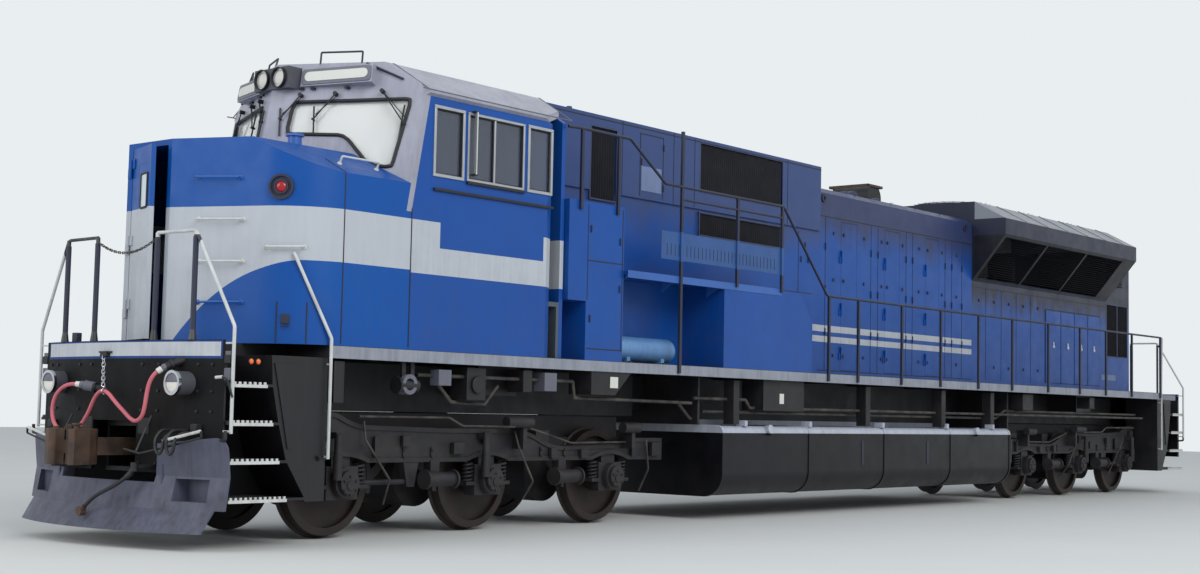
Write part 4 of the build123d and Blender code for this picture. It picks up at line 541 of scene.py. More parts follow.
noseIrons = {
    # Finish, then each iron: start, end, the way it stands out and how far
    "blue": ("plainBlue", [
        ((11.008, 0.379, 3.41), (10.834, 0.799, 3.401), (0.92, 0.38, 0), 0.06),
        ((10.99, 0.423, 2.223), (10.815, 0.843, 2.224), (0.92, 0.38, 0), 0.06)]),
    "white": ("white", [
        ((10.998, 0.403, 3.008), (10.818, 0.836, 3.002), (0.92, 0.38, 0), 0.06),
        ((10.989, 0.426, 2.608), (10.815, 0.844, 2.605), (0.92, 0.38, 0), 0.06)]),
    # One round the corner, one across the nose's top and one along each shoulder
    "dark": ("white", [
        ((10.718, 1.073, 2.74), (10.498, 1.346, 2.747), (0.78, 0.63, 0), 0.06),
        ((10.3, -0.25, 3.79), (10.3, 0.3, 3.79), (0, 0, 1), 0.09),
        ((10.04, 1.28, 3.594), (9.56, 1.28, 3.594), (0, 0.46, 0.89), 0.08),
        ((10.04, -1.28, 3.594), (9.56, -1.28, 3.594), (0, -0.46, 0.89), 0.08)]),
}


def addNoseIrons():
    print("adding the grab irons of the nose")
    for key, (finish, irons) in noseIrons.items():
        bm = bmesh.new()
        for start, end, outward, standoff in irons:
            addGrabIron(bm, start, end, outward, standoff)
        finishPiece(bm, "noseIrons." + key, finish)


def addRing(bm, centre, axis, outer, inner, depth, segments=40):
    # A flat ring with its back at the centre, thickened along the axis
    matrix = facing(centre, axis)
    made = bmesh.ops.create_circle(bm, segments=segments, radius=inner, matrix=matrix)["verts"]
    edges = list({edge for vert in made for edge in vert.link_edges})
    grown = bmesh.ops.extrude_edge_only(bm, edges=edges)["geom"]
    rim = [item for item in grown if isinstance(item, bmesh.types.BMVert)]
    bmesh.ops.scale(bm, vec=Vector((outer / inner,) * 3), space=matrix.inverted(), verts=rim)
    faces = list({face for vert in made for face in vert.link_faces})
    lifted = bmesh.ops.extrude_face_region(bm, geom=faces)["geom"]
    tops = [item for item in lifted if isinstance(item, bmesh.types.BMVert)]
    bmesh.ops.translate(bm, vec=Vector(axis).normalized() * depth, verts=tops)


def addDome(bm, centre, axis, radius, rise):
    # A shallow lens, its rim at the centre's plane
    matrix = facing(centre, axis)
    made = bmesh.ops.create_uvsphere(bm, u_segments=28, v_segments=12, radius=radius,
                                     matrix=matrix @ Matrix.Diagonal((1, 1, rise / radius, 1)))["verts"]
    normal = Vector(axis).normalized()
    behind = [vert for vert in made if (vert.co - matrix.translation).dot(normal) < -1e-4]
    bmesh.ops.delete(bm, geom=behind, context="VERTS")
    bmesh.ops.holes_fill(bm, edges=[edge for edge in bm.edges if edge.is_boundary])


markerLamp = {
    "place": (10.655, 1.178, 3.308),
    "outward": (0.81, 0.58, 0),
    "ringRadius": 0.12,
    "lensRadius": 0.054,
}


def addMarkerLamps():
    print("adding the marker lamps")
    shells, rings, lenses = bmesh.new(), bmesh.new(), bmesh.new()
    for side in (1, -1):
        spot, outward = flipped(markerLamp["place"], side), flipped(markerLamp["outward"], side).normalized()
        addRing(shells, spot - outward * 0.03, outward, markerLamp["ringRadius"], 0.1, 0.055)
        addRing(shells, spot - outward * 0.02, outward, 0.101, 0.01, 0.022)
        addRing(rings, spot + outward * 0.001, outward, markerLamp["lensRadius"] + 0.014, 0.052, 0.02)
        addDome(lenses, spot + outward * 0.004, outward, markerLamp["lensRadius"], 0.03)
    finishPiece(shells, "markerLampShells", "navy")
    finishPiece(rings, "markerLampRings", "navy")
    finishPiece(lenses, "markerLampLenses", "redLens")


noseSeams = {
    # Lines of rubber and gaps between sheets; the latch sits on the corner panel
    "radius": 0.006,
    "bothSides": [
        [(10.15, 1.2, 3.636), (10.15, 1.5, 3.481), (10.15, 1.502, 1.86)],
        [(9.272, 1.502, 3.23), (9.272, 1.502, 1.86)],
    ],
    "left": [
        [(10.662, 1.174, 2.23), (10.662, 1.174, 1.85)],
        [(10.466, 1.372, 2.23), (10.466, 1.372, 1.85)],
    ],
    "latch": (10.61, 1.24, 2.056),
}


def addNoseSeams():
    routes = [way for route in noseSeams["bothSides"] for way in (route, mirrored(route))]
    addFittings("noseSeams", "rubber", bars=routes + noseSeams["left"], radius=noseSeams["radius"], bend=0.02,
                bevel=0, mirror=False)
    bm = bmesh.new()
    x, y, z = noseSeams["latch"]
    addBlock(bm, x - 0.012, x + 0.012, y - 0.04, y + 0.04, z - 0.03, z + 0.06,
             Matrix.Rotation(math.atan2(0.66, 0.76), 4, "Z"))
    addBars(bm, [[(x + 0.02, y - 0.03, z - 0.05), (x + 0.035, y, z - 0.05), (x - 0.01, y + 0.05, z - 0.05)]], 0.007)
    finishPiece(bm, "noseLatch", "navy", bevel=0.004)


noseDoor = {
    # The leaf's hinge line and how far it stands ajar; near and far edge along the leaf, bottom and top
    "hinge": (11.14, -0.505, 0),
    "ajar": math.radians(-18),
    "pocket": (0.201, 0.429, 3.061, 3.559),
    "pane": (0.293, 0.467, 3.138, 3.452),
    "window": (0.285, 0.475, 3.13, 3.46),
}


def addDoorWindow():
    leaf = Matrix.Translation(noseDoor["hinge"]) @ Matrix.Rotation(noseDoor["ajar"], 4, "Z")
    for name, key, finish, back, front in (("doorWindowPanel", "pocket", "noseBlue", -0.0405, -0.0212),
                                           ("doorWindowPane", "pane", "skyPane", -0.0205, -0.0165)):
        bm = bmesh.new()
        addBlock(bm, back, front, *noseDoor[key])
        bmesh.ops.transform(bm, matrix=leaf, verts=bm.verts)
        finishPiece(bm, name, finish, "nose_door")
    near, far, low, high = noseDoor["window"]
    middle = (near + far) / 2
    ring = [(middle, low), (far, low), (far, high), (near, high), (near, low), (middle, low)]
    addFittings("doorWindowFrame", "rubber", "nose_door", bars=[[leaf @ Vector((-0.016, s, z)) for s, z in ring]],
                radius=0.011, bend=0.045, bevel=0, mirror=False)


ventStack = {
    "place": (10.13, 0.72),
    # Bottom, top, radius and sides of the pipe, its cap, the knob and the foot
    "rods": [(3.76, 3.915, 0.068, 32), (3.893, 3.919, 0.092, 8), (3.915, 3.935, 0.03, 16), (3.78, 3.81, 0.084, 32)],
}


def addVentStack():
    bm = bmesh.new()
    for low, high, radius, sides in ventStack["rods"]:
        addPin(bm, (*ventStack["place"], low), (*ventStack["place"], high), radius, segments=sides)
    finishPiece(bm, "noseVentStack", "plainBlue", bevel=0.003)


screenWall = {
    "origin": (9.87, 0, 4.33),
    "sweep": math.atan(0.49),
    "lean": math.radians(9.5),
    # Corners of the left windscreen: side distance and height
    "corners": [(0.24, 4.34), (1.37, 4.35), (1.29, 3.64), (1.06, 3.68), (0.79, 3.985), (0.22, 4.01)],
    # Wipers: pivot, arm's end, blade's two ends
    "wipers": [
        ((0.304, 4.405), (0.14, 4.16), (0.12, 4.28), (0.159, 3.985)),
        ((0.642, 4.411), (0.465, 4.147), (0.449, 4.288), (0.491, 3.992)),
        ((1.09, 4.427), (1.345, 4.085), (1.32, 4.28), (1.315, 3.892)),
    ],
}


def screenOut():
    sweep, lean = screenWall["sweep"], screenWall["lean"]
    return Vector((math.cos(sweep) * math.cos(lean), math.sin(sweep) * math.cos(lean), math.sin(lean)))


def onScreen(y, z, off=0.0):
    # A point of the windscreen wall, off metres in front of it
    out = screenOut()
    x = screenWall["origin"][0] - (y * out.y + (z - screenWall["origin"][2]) * out.z) / out.x
    return Vector((x, y, z)) + out * off


def addWindscreens():
    print("adding the gaskets and the wipers")
    corners = [onScreen(y, z) for y, z in screenWall["corners"]]
    route = []
    for before, corner, after in zip(corners[-1:] + corners[:-1], corners, corners[1:] + corners[:1]):
        route += [corner + (before - corner).normalized() * 0.07,
                  corner + (before + after - 2 * corner).normalized() * 0.018,
                  corner + (after - corner).normalized() * 0.07]
    addFittings("windscreenGaskets", "rubber", bars=[[point + screenOut() * 0.004 for point in route + route[:1]]],
                radius=0.019, bend=0.012, bevel=0)

    bm = bmesh.new()
    for pivot, elbow, high, low in screenWall["wipers"]:
        arm = [onScreen(*pivot, 0.035), onScreen(*elbow, 0.03)]
        second = [onScreen(pivot[0] + 0.02, pivot[1] - 0.02, 0.035), onScreen(elbow[0] + 0.015, elbow[1] + 0.05, 0.03)]
        blade = [onScreen(*high, 0.016), onScreen(*low, 0.016)]
        for bar, radius in ((arm, 0.007), (second, 0.005), (blade, 0.009)):
            addBars(bm, [bar, mirrored(bar)], radius, 0.01)
        for side in (1, -1):
            for spot, radius, depth in ((pivot, 0.022, 0.055), (elbow, 0.012, 0.045)):
                addPin(bm, flipped(onScreen(*spot, -0.005), side), flipped(onScreen(*spot, depth), side), radius)
    finishPiece(bm, "wipers", "black")


numberBoards = {
    # On the wedge-shaped boxes: distance along the wall from the centre line, off the wall
    "near": (0.33, 0.025),
    "far": (1.13, 0.12),
    "rise": (0.1724, 0.3624),
    # Name, finish, how much smaller than the box all round, depth and corner radius
    "parts": [("numberBoardRims", "greyDark", 0.012, 0.012, 0.03), ("numberBoardPanels", "board", 0.045, 0.018, 0.05)],
}


def addNumberBoards():
    print("adding the blank number boards")
    sweep, out = screenWall["sweep"], screenOut()
    along = Vector((-math.sin(sweep), math.cos(sweep), 0))
    up = out.cross(along)
    near, far = (raised(screenWall["origin"]) + along * numberBoards[key][0] + out * numberBoards[key][1]
                 for key in ("near", "far"))
    right = (far - near).normalized()
    normal = right.cross(up)
    low, high = numberBoards["rise"]
    middle = (near + far) / 2 + up * (low + high) / 2
    turn = Matrix((right, up, normal)).transposed().to_4x4()
    for name, finish, inset, depth, radius in numberBoards["parts"]:
        bm = bmesh.new()
        for side in (1, -1):
            flip = Matrix.Diagonal((1, side, 1, 1))
            matrix = flip @ Matrix.Translation(middle + normal * (depth / 2 - 0.002)) @ turn
            size = ((far - near).length - 2 * inset, high - low - 2 * inset, depth)
            made = bmesh.ops.create_cube(bm, size=1, matrix=matrix @ Matrix.Diagonal((*size, 1)))["verts"]
            corners = [edge for edge in {e for v in made for e in v.link_edges}
                       if abs((edge.verts[0].co - edge.verts[1].co).normalized().dot(flip @ normal)) > 0.9]
            bmesh.ops.bevel(bm, geom=corners, offset=radius, affect="EDGES", segments=5, profile=0.5, material=-1)
        finishPiece(bm, name, finish, bevel=0.003)


lampFittings = {
    # Headlights, ditch lights and rear lights. Rings: X, Y, Z, facing, outer and inner radius, depth
    "rings": [(9.85, 0.13, 4.59, 1, 0.097, 0.08, 0.022), (11.628, 0.97, 1.45, 1, 0.112, 0.088, 0.03),
              (-10.32, 0.13, 4.3, -1, 0.105, 0.085, 0.02)],
    "hoods": [(9.858, 0.13, 4.59, 1, 0.108, 0.097, 0.035)],
    # Domes: X, Y, Z, facing, radius, rise
    "lenses": [(9.852, 0.13, 4.59, 1, 0.082, 0.022), (11.642, 0.97, 1.45, 1, 0.09, 0.018),
               (-10.322, 0.13, 4.3, -1, 0.087, 0.02)],
    # Dark half discs over the ditch lights' lenses, a painted shade: X, Y, Z, facing, radius, rise
    "paintedShadeDiscs": [(11.645, 0.97, 1.45, 1, 0.087, 0.0185)],
    "paintedShadeFoot": 1.455,
}


def addHeadlights():
    print("adding the headlights and the ditch lights")
    made = {}
    for key, add in (("rings", addRing), ("lenses", addDome), ("hoods", addRing), ("paintedShadeDiscs", addDome)):
        made[key] = bmesh.new()
        for x, y, z, way, *sizes in lampFittings[key]:
            for side in (1, -1):
                add(made[key], (x, side * y, z), (way, 0, 0), *sizes)
    finishPiece(made["rings"], "lampRings", "bright")
    finishPiece(made["lenses"], "lampLenses", "whiteLens")
    finishPiece(made["hoods"], "headlightHoods", "black")
    # Dark half discs over the upper half of each ditch light's lens, a painted shade, and the reflector beside the left
    # one
    paintedShadeDiscs = made["paintedShadeDiscs"]
    bmesh.ops.bisect_plane(paintedShadeDiscs, geom=paintedShadeDiscs.verts[:] + paintedShadeDiscs.edges[:] + paintedShadeDiscs.faces[:],
                           plane_co=raised((0, 0, lampFittings["paintedShadeFoot"])), plane_no=(0, 0, -1), clear_outer=True)
    bmesh.ops.holes_fill(paintedShadeDiscs, edges=[edge for edge in paintedShadeDiscs.edges if edge.is_boundary])
    finishPiece(paintedShadeDiscs, "ditchLightPaintedShade", "greyDark")
    addFittings("plateReflector", "redLens", pins=[((11.59, 0.872, 1.385), (11.632, 0.872, 1.385), 0.032)],
                mirror=False)


def addRoofIrons():
    addFittings("roofIrons", "navy", bars=[
        [(9.579, 0.424, 4.74), (9.569, 0.424, 4.865), (9.371, 0.827, 4.865), (9.38, 0.827, 4.74)],
        [(9.76, -0.058, 4.74), (9.73, -0.058, 4.83), (9.56, -0.4, 4.83), (9.58, -0.4, 4.74)],
        [(9.38, -0.9, 4.74), (9.37, -0.9, 4.84), (9.16, -1.3, 4.66), (9.19, -1.3, 4.56)]],
        radius=0.01, bend=0.02, bevel=0, mirror=False)
    # Rain strip over the outer corner of each windscreen, and clips under the number boards
    addFittings("rainStrips", "navy", bars=[[onScreen(0.885, 4.735, 0.012), onScreen(1.263, 4.555, 0.012)]], blocks=[
        (x - 0.02, x + 0.02, y - 0.02, y + 0.02, z - 0.012, z + 0.012)
        for x, y, z in (onScreen(across, 4.475, 0.02) for across in (0.299, 0.408, 0.741))], radius=0.012, bevel=0)


sideWindows = {
    # Rear X, front X and width of the frame of each opening
    "openings": [(8.59, 8.97, 0.032), (7.67, 8.49, 0.0256), (7.22, 7.56, 0.032)],
    "bottom": 3.62,
    "top": 4.28,
}


def addSideWindows():
    print("adding the side window frames")
    low, high = sideWindows["bottom"], sideWindows["top"]
    frames, dark = [(8.085, 8.11, 1.478, 1.5, low, high)], []
    for rear, front, width in sideWindows["openings"]:
        frames += frameBars(rear, front, low, high, width, 1.47, 1.514)
        dark += frameBars(rear + 0.012, front - 0.012, low + 0.012, high - 0.012, 0.012, 1.47, 1.492)
    addFittings("sideWindowFrames", "windowMetal", blocks=frames)
    # Rubber frames, sash, sills and the ends of the wind deflector, which stands out ahead of the sash
    addFittings("sideWindowRubbers", "rubber", bevel=0, blocks=dark + [
        (8.11, 8.128, 1.476, 1.496, low, high), (7.64, 8.52, 1.5, 1.53, low - 0.055, low - 0.03),
        (7.18, 8.99, 1.5, 1.528, 3.445, 3.47), (8.415, 8.46, 1.5, 1.56, 3.655, 3.672),
        (8.415, 8.46, 1.5, 1.56, 4.305, 4.322)])
    addFittings("windDeflectors", "white", blocks=[(8.425, 8.437, 1.508, 1.584, 3.665, 4.31, -28, "Z")])


addNoseIrons()
addMarkerLamps()
addNoseSeams()
addDoorWindow()
addVentStack()
addWindscreens()
addNumberBoards()
addHeadlights()
addRoofIrons()
addSideWindows()


def addFrontEnd():
    print("adding the fittings of the front end")
    addFittings("postSleeves", "navy", bevel=0.004, pins=[
        ((x, y, 1.9), (x, y, 2.775), 0.026) for x, y in ((11.5, 0.47), (11.47, 1))])
    addFittings("deckStub", "navy", blocks=[(11.4, 11.46, -0.9, -0.82, 1.84, 1.93)], mirror=False, bevel=0.006)
    hung = chainLinks((11.5, -0.44, 2.775), (11.5, 0.44, 2.775), 0.11, 26, 0.01, 0.0035)
    addFittings("postChain", "pipe", bars=hung, radius=0.0035, bevel=0, mirror=False)
    chain = chainLinks((11.6, -0.15, 1.7), (11.724, 0.04, 1.412), 0.01, 9, 0.014, 0.005)
    loop = [(11.724, 0.062, 1.412), (11.762, 0.066, 1.368), (11.724, 0.07, 1.328), (11.688, 0.066, 1.368),
            (11.724, 0.062, 1.412)]
    addFittings("cableChain", "bright", bars=chain + [loop], radius=0.005, bevel=0, mirror=False,
                replaced=("jumper_chain",))
    addFittings("chainBracket", "black", mirror=False, blocks=[
        (11.55, 11.612, -0.2, -0.1, 1.69, 1.74), (11.565, 11.6, -0.24, -0.06, 1.725, 1.74)])
    # The cable's plugs and pale collars
    addFittings("cablePlugs", "greyDark", mirror=False, bevel=0.006, pins=[
        ((11.6, -0.275, 1.404), (11.664, -0.35, 1.42), 0.048), ((11.664, -0.35, 1.42), (11.69, -0.378, 1.427), 0.036),
        ((11.6, 0.845, 1.604), (11.65, 0.82, 1.578), 0.032)])
    addFittings("cableCollars", "board", mirror=False, bevel=0.004, pins=[
        ((11.688, -0.377, 1.426), (11.706, -0.42, 1.43), 0.027),
        ((11.652, 0.819, 1.576), (11.684, 0.796, 1.546), 0.028)])
    # Cut levers with white handles, and the lever at the steps
    addFittings("cutLeverHandles", "white", radius=0.015, mirror=False, bars=[
        [(11.72, 0.97, 0.935), (11.72, 1.49, 1.03)], [(11.72, -1.17, 1.01), (11.72, -0.76, 0.92)],
        [(11.5, 1.395, 1.502), (11.49, 1.47, 1.508)]])
    addFittings("cutLevers", "black", mirror=False, bars=[
        [(11.76, 0.45, 0.85), (11.74, 0.66, 0.815), (11.71, 0.95, 0.87), (11.71, 1.5, 0.975), (11.72, 1.5, 1.03)],
        [(11.76, -0.45, 0.855), (11.74, -0.7, 0.85), (11.71, -1.2, 0.955), (11.72, -1.18, 1.01)],
        [(11.49, 1.468, 1.508), (11.46, 1.5, 1.49), (11.41, 1.52, 1.33)],
        [(11.6, 0.62, 1.15), (11.75, 0.62, 0.83)], [(11.6, -0.62, 1.15), (11.75, -0.62, 0.86)]])
    addFittings("plateFittings", "black", bevel=0.008, blocks=[
        (11.36, 11.41, 1.385, 1.47, 1.628, 1.705), (11.5, 11.56, 0.36, 0.52, 0.98, 1.13),
        (11.44, 11.52, 1.08, 1.16, 1.02, 1.09)])
    addFittings("stepPlates", "greyDark", bevel=0.006, blocks=[
        (11.385, 11.402, 1.3, 1.47, 1.48, 1.59), (11.386, 11.4, 1.36, 1.46, 1.64, 1.74)])
    # Bolt heads in rows on the bowed end plate
    heads = [(11.4 + 0.17 * (1 - (y / 1.39) ** 2), y, z) for y in (0.4, 0.62, 1.1, 1.26)
             for z in (0.72, 0.86, 1.2, 1.38, 1.62)]
    addFittings("plateBolts", "black", bevel=0, pins=[
        ((x - 0.01, y, z), (x + 0.014, y, z), 0.013) for x, y, z in heads])
    # Pins of the knuckles: X, Y, foot, top, radius; the rear ones are the front ones turned round
    knucklePins = [(12.07, 0.17, 1, 1.062, 0.026), (12.07, 0.17, 1.055, 1.072, 0.042),
                   (11.98, -0.08, 1.02, 1.058, 0.034)]
    for body, flip in (("coupler_front", 1), ("coupler_rear", -1)):
        addFittings("knucklePins." + body, "rusty", body, mirror=False, pins=[
            ((flip * x, flip * y, foot), (flip * x, flip * y, top), radius) for x, y, foot, top, radius in knucklePins],
            blocks=[(flip * 11.9, flip * 11.965, flip * -0.16, flip * 0.1, 1.03, 1.05)])


treads = {
    # Height and inner edge of each tread at the front; those at the rear reach 50 mm further in
    "steps": [(0.43, 10.755), (0.772, 10.855), (1.113, 10.942), (1.455, 11.02)],
    "toothPitch": 0.052,
    "barsAt": [0.93, 1.01, 1.09, 1.17, 1.25, 1.33, 1.41],
    "lampsAt": [11.18, 11.1],
}


def addTreads():
    print("adding the serrated treads")
    teeth, boards = [], []
    for z, inner in treads["steps"]:
        for low, high in ((inner - 0.03, 11.385), (-11.465, -inner + 0.05)):
            teeth.append((low, high, 1.474, 1.487, z - 0.034, z - 0.006))
            count = int((high - low) / treads["toothPitch"])
            for k in range(count):
                x = low + (k + 0.5) * (high - low) / count
                teeth.append((x - 0.013, x + 0.013, 1.474, 1.486, z - 0.008, z + 0.016))
        boards += [(low, high, y, y + 0.03, z - 0.004, z + 0.008)
                   for low, high in ((inner, 11.37), (-11.45, -inner + 0.05)) for y in treads["barsAt"]]
    addFittings("treadTeeth", "white", blocks=teeth, bevel=0)
    addFittings("treadBars", "black", blocks=boards, bevel=0)
    addFittings("stepRailFeet", "black", radius=0.016, bars=[
        [(11.455, 1.5, 1.035), (11.455, 1.5, 0.955), (11.44, 1.36, 0.945), (11.4, 1.28, 0.955)],
        [(10.36, 1.5, 0.8), (10.36, 1.475, 0.775), (10.36, 1.43, 0.775)],
        [(-11.45, 1.5, 1.035), (-11.45, 1.5, 0.955), (-11.44, 1.4, 0.945)]])
    bm = bmesh.new()
    for side in (1, -1):
        for x in treads["lampsAt"]:
            addDome(bm, (x, side * 1.478, 1.655), (0, side, 0), 0.024, 0.014)
    finishPiece(bm, "stepLamps", "orangeLens")
    addFittings("stepLampRims", "black", pins=[((x, 1.47, 1.655), (x, 1.48, 1.655), 0.03) for x in treads["lampsAt"]])


addFrontEnd()
addTreads()


def upright(xs, half, y0, y1, z0, z1):
    # Thin upright strips, half wide on each side of every X
    return [(x - half, x + half, y0, y1, z0, z1) for x in xs]


grilles = {
    # Openings in the cabinet's side: rear, front, bottom, top
    "cabinet": [(5.41, 5.88, 3.76, 4.6), (1.83, 3.71, 3.53, 3.8), (1.83, 3.71, 4.08, 4.69)],
    "finPitch": 0.045,
    "radiators": [(-8.6, -7.07), (-7.01, -5.48), (-5.42, -3.89)],
    "radiatorSlats": 19,
    "rear": (-10.16, -9.21, 2.5, 3.45),
    "rearSlats": 22,
}


def addGrilles():
    print("adding the grilles")
    fins = []
    for x0, x1, z0, z1 in grilles["cabinet"]:
        fins.append((x0, x1, 0.905, 0.915, z0, z1))
        count = int((x1 - x0) / grilles["finPitch"])
        for k in range(1, count):
            x = x0 + k * (x1 - x0) / count
            fins.append((x - 0.003, x + 0.003, 0.912, 0.952, z0 + 0.01, z1 - 0.01, 24, "Z"))
    # Radiator intakes: sloping slats in three frames a side
    for x0, x1 in grilles["radiators"]:
        for k in range(grilles["radiatorSlats"]):
            share = (k + 0.5) / grilles["radiatorSlats"]
            y, z = 0.935 + share * 0.495, 3.585 + share * 0.61
            fins.append((x0, x1, y - 0.022, y + 0.022, z - 0.002, z + 0.002, -14, "X"))
    # Rear grille: upright slats before a plate, 10 mm short of it all round
    x0, x1, z0, z1 = grilles["rear"]
    pitch = (x1 - x0 - 0.02) / grilles["rearSlats"]
    slats = [x0 + 0.01 + (k + 0.5) * pitch for k in range(grilles["rearSlats"])]
    fins += upright(slats, 0.003, 0.878, 0.905, z0 + 0.01, z1 - 0.01) + [(x0, x1, 0.872, 0.878, z0, z1)]
    # The small louvre above it
    fins.append((-9.9, -9.32, 0.906, 0.913, 3.8, 4.14))
    fins += [(-9.9, -9.32, 0.91, 0.934, 3.812 + 0.056 * k, 3.828 + 0.056 * k, -30, "X") for k in range(6)]
    addFittings("grilleFins", "mesh", blocks=fins, bevel=0, replaced=("grilles",))
    # The rear grille's middle bar, and a frame round every opening
    frames = [(-9.7, -9.67, 0.9, 0.916, z0, z1)]
    for opening, face in [(opening, 0.962) for opening in grilles["cabinet"]] + [(grilles["rear"], 0.912)]:
        frames += frameBars(*opening, 0.02, face - 0.02, face)
    addFittings("grilleFrames", "sootyBlue", blocks=frames, bevel=0.002)


hoodPanels = {
    # Upright seams, middles of the latches, and the seams of the raised doors below the radiators
    "seams": [0.64, -0.62, -0.82, -1.66, -1.86, -2.9, -3.12, -3.46],
    "latchAt": [0.42, -0.42, -0.93, -1.55, -2.06, -2.8, -3.28],
    "latchHeights": [2.13, 3.2, 3.86],
    "hingeHeights": [2.46, 3.06, 3.66],
    "housingSeams": [-4.3, -4.86, -5.42, -5.98],
    "housingLatches": [-4.06, -4.6, -5.14, -5.7, -6.26],
    "raisedSeams": [-6.55, -7.17, -7.74, -8.32, -8.86],
    "doors": {1: 0, 2: -1.24, 3: -2.48},
    "low": 1.92,
    "high": 4.075,
    "face": 0.91,
}


def addHoodDetails():
    print("adding the seams and latches of the hood")
    face, low, high = hoodPanels["face"], hoodPanels["low"], hoodPanels["high"]
    inner, outer, edges = face - 0.004, face + 0.0025, hoodPanels["raisedSeams"]
    addFittings("hoodSeams", "rubber", bevel=0, blocks=[
        *upright(hoodPanels["seams"], 0.005, inner, outer, low, high),
        (-3.8, 0.85, inner, outer, high, high + 0.012), (-3.8, 0.85, inner, outer, low - 0.012, low),
        *upright(hoodPanels["housingSeams"], 0.005, inner, outer, low, 3.4),
        *upright(edges, 0.012, inner, face + 0.004, low, 3.2),
        (-9.15, -3.8, inner, outer, 3.4, 3.411), (-8.86, -6.55, inner, face + 0.004, 3.2, 3.216)])
    irons = []
    for z in hoodPanels["latchHeights"]:
        # The top row runs along the hood only
        xs = hoodPanels["latchAt"] + (hoodPanels["housingLatches"] if z < 3.5 else [])
        irons += upright(xs, 0.016, face, face + 0.014, z - 0.022, z + 0.022)
    for z in hoodPanels["hingeHeights"]:
        irons += upright(hoodPanels["seams"], 0.008, face, face + 0.016, z - 0.05, z + 0.05)
    addFittings("hoodLatches", "navy", blocks=irons, bevel=0.002)
    # Four raised doors below the radiators, each with a pale handle
    addFittings("panelDoors", "hoodBlue", bevel=0.004, blocks=[
        (b + 0.014, a - 0.014, face - 0.002, face + 0.014, 1.935, 3.185) for a, b in zip(edges, edges[1:])])
    middles = [(a + b) / 2 for a, b in zip(edges, edges[1:])]
    addFittings("panelHandles", "white", blocks=upright(middles, 0.014, face + 0.01, face + 0.026, 2.59, 2.65),
                pins=[((x, face + 0.01, 2.57), (x, face + 0.03, 2.57), 0.03) for x in middles])
    for side, sign in (("left", 1), ("right", -1)):
        for number, x in hoodPanels["doors"].items():
            body = "hood_door_%s_%d" % (side, number)
            low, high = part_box(body)
            skin = max(abs(low[1]), abs(high[1])) - 0.03
            addFittings("latches." + body, "navy", body, bevel=0.002, mirror=False, blocks=[
                (x + 0.13, x + 0.165, sign * skin, sign * (skin + 0.014), z - 0.022, z + 0.022)
                for z in hoodPanels["latchHeights"]])


def addLiftingEyes():
    bm = bmesh.new()
    for side in (1, -1):
        for x in (0.7, -3.55):
            addRing(bm, (x, side * 0.908, 4.33), (0, side, 0), 0.058, 0.026, 0.022)
    finishPiece(bm, "liftingEyes", "navy", bevel=0.003)


cabinet = {
    "face": 0.96,
    # Seams: rear, front, inner and outer side, bottom, top
    "seams": [
        (0.85, 6.88, 0.958, 0.963, 4.7, 4.712), (4.49, 4.96, 0.96, 0.963, 4.636, 4.648),
        (4.49, 4.502, 0.96, 0.963, 3.88, 4.64), (4.948, 4.96, 0.96, 0.963, 3.88, 4.64),
        (1.995, 4, 1.5595, 1.5625, 2.868, 2.88), (5.92, 6.55, 1.4995, 1.5025, 1.96, 1.972),
        (6.545, 6.555, 1.4995, 1.5025, 2.5, 3.57), (5.93, 5.942, 1.4995, 1.5025, 1.96, 3.57),
        (1.36, 1.372, 0.9295, 0.9325, 1.9, 3.8), (5.93, 6.55, 1.4995, 1.5025, 2.94, 2.952)],
    # Middles of the hinges
    "hinges": [
        (4.49, 0.96, 4.52), (4.49, 0.96, 4.02), (4.93, 0.96, 4.3), (6.5, 1.5, 3.3), (6.5, 1.5, 2.3),
        (5.98, 1.5, 2.66), (5.98, 1.5, 3.2), (1.3, 0.93, 3.42), (1.12, 0.93, 3.42), (1.3, 0.93, 2.12),
        (1.12, 0.93, 2.12), (1.2, 0.93, 3.62)],
}


def addCabinetDetails():
    print("adding the cabinet's door, seams and brackets")
    face = cabinet["face"]
    addFittings("cabinetSeams", "rubber", bevel=0, blocks=cabinet["seams"] + upright(
        (5.3, 4.28, 3.84, 1.7), 0.004, face - 0.002, face + 0.003, 3.86, 4.74))
    addFittings("cabinetPatch", "palePlate", bevel=0.001, blocks=[
        (4.53, 4.93, face, face + 0.004, 3.95, 4.25), (-9.62, -8.96, 0.908, 0.914, 2.05, 2.15)])
    addFittings("guardSlots", "rubber", bevel=0, blocks=upright(
        [2.925 + 0.078 * k for k in range(30)], 0.005, 1.566, 1.5695, 3.12, 3.26))
    addFittings("cabinetHinges", "navy", bevel=0.002, blocks=[
        (x - 0.01, x + 0.01, y, y + 0.014, z - 0.04, z + 0.04) for x, y, z in cabinet["hinges"]])
    # Gussets under the shelf
    bm = bmesh.new()
    for side in (1, -1):
        for x in (4.06, 4.98, 5.86):
            for vert in addBlock(bm, x - 0.006, x + 0.006, side * 1.33, side * 1.55, 2.7, 2.842):
                if abs(vert.co.y) > 1.5 and vert.co.z < 2.8:
                    vert.co.z = railTop + 2.83
        addBlock(bm, 2.74, 5.91, side * 1.548, side * 1.566, 2.8, 2.885)
    finishPiece(bm, "shelfGussets", "plainBlue", bevel=0.002)
    addFittings("blankPlates", "board", bevel=0.001, blocks=[
        (5.95, 6.09, 1.48, 1.484, 1.54, 1.665), (2.53, 2.63, 1.48, 1.484, 1.42, 1.55)])
    addFittings("reservoirStraps", "navy", blocks=upright((4.95, 5.6), 0.02, 1.09, 1.39, 1.84, 1.862))


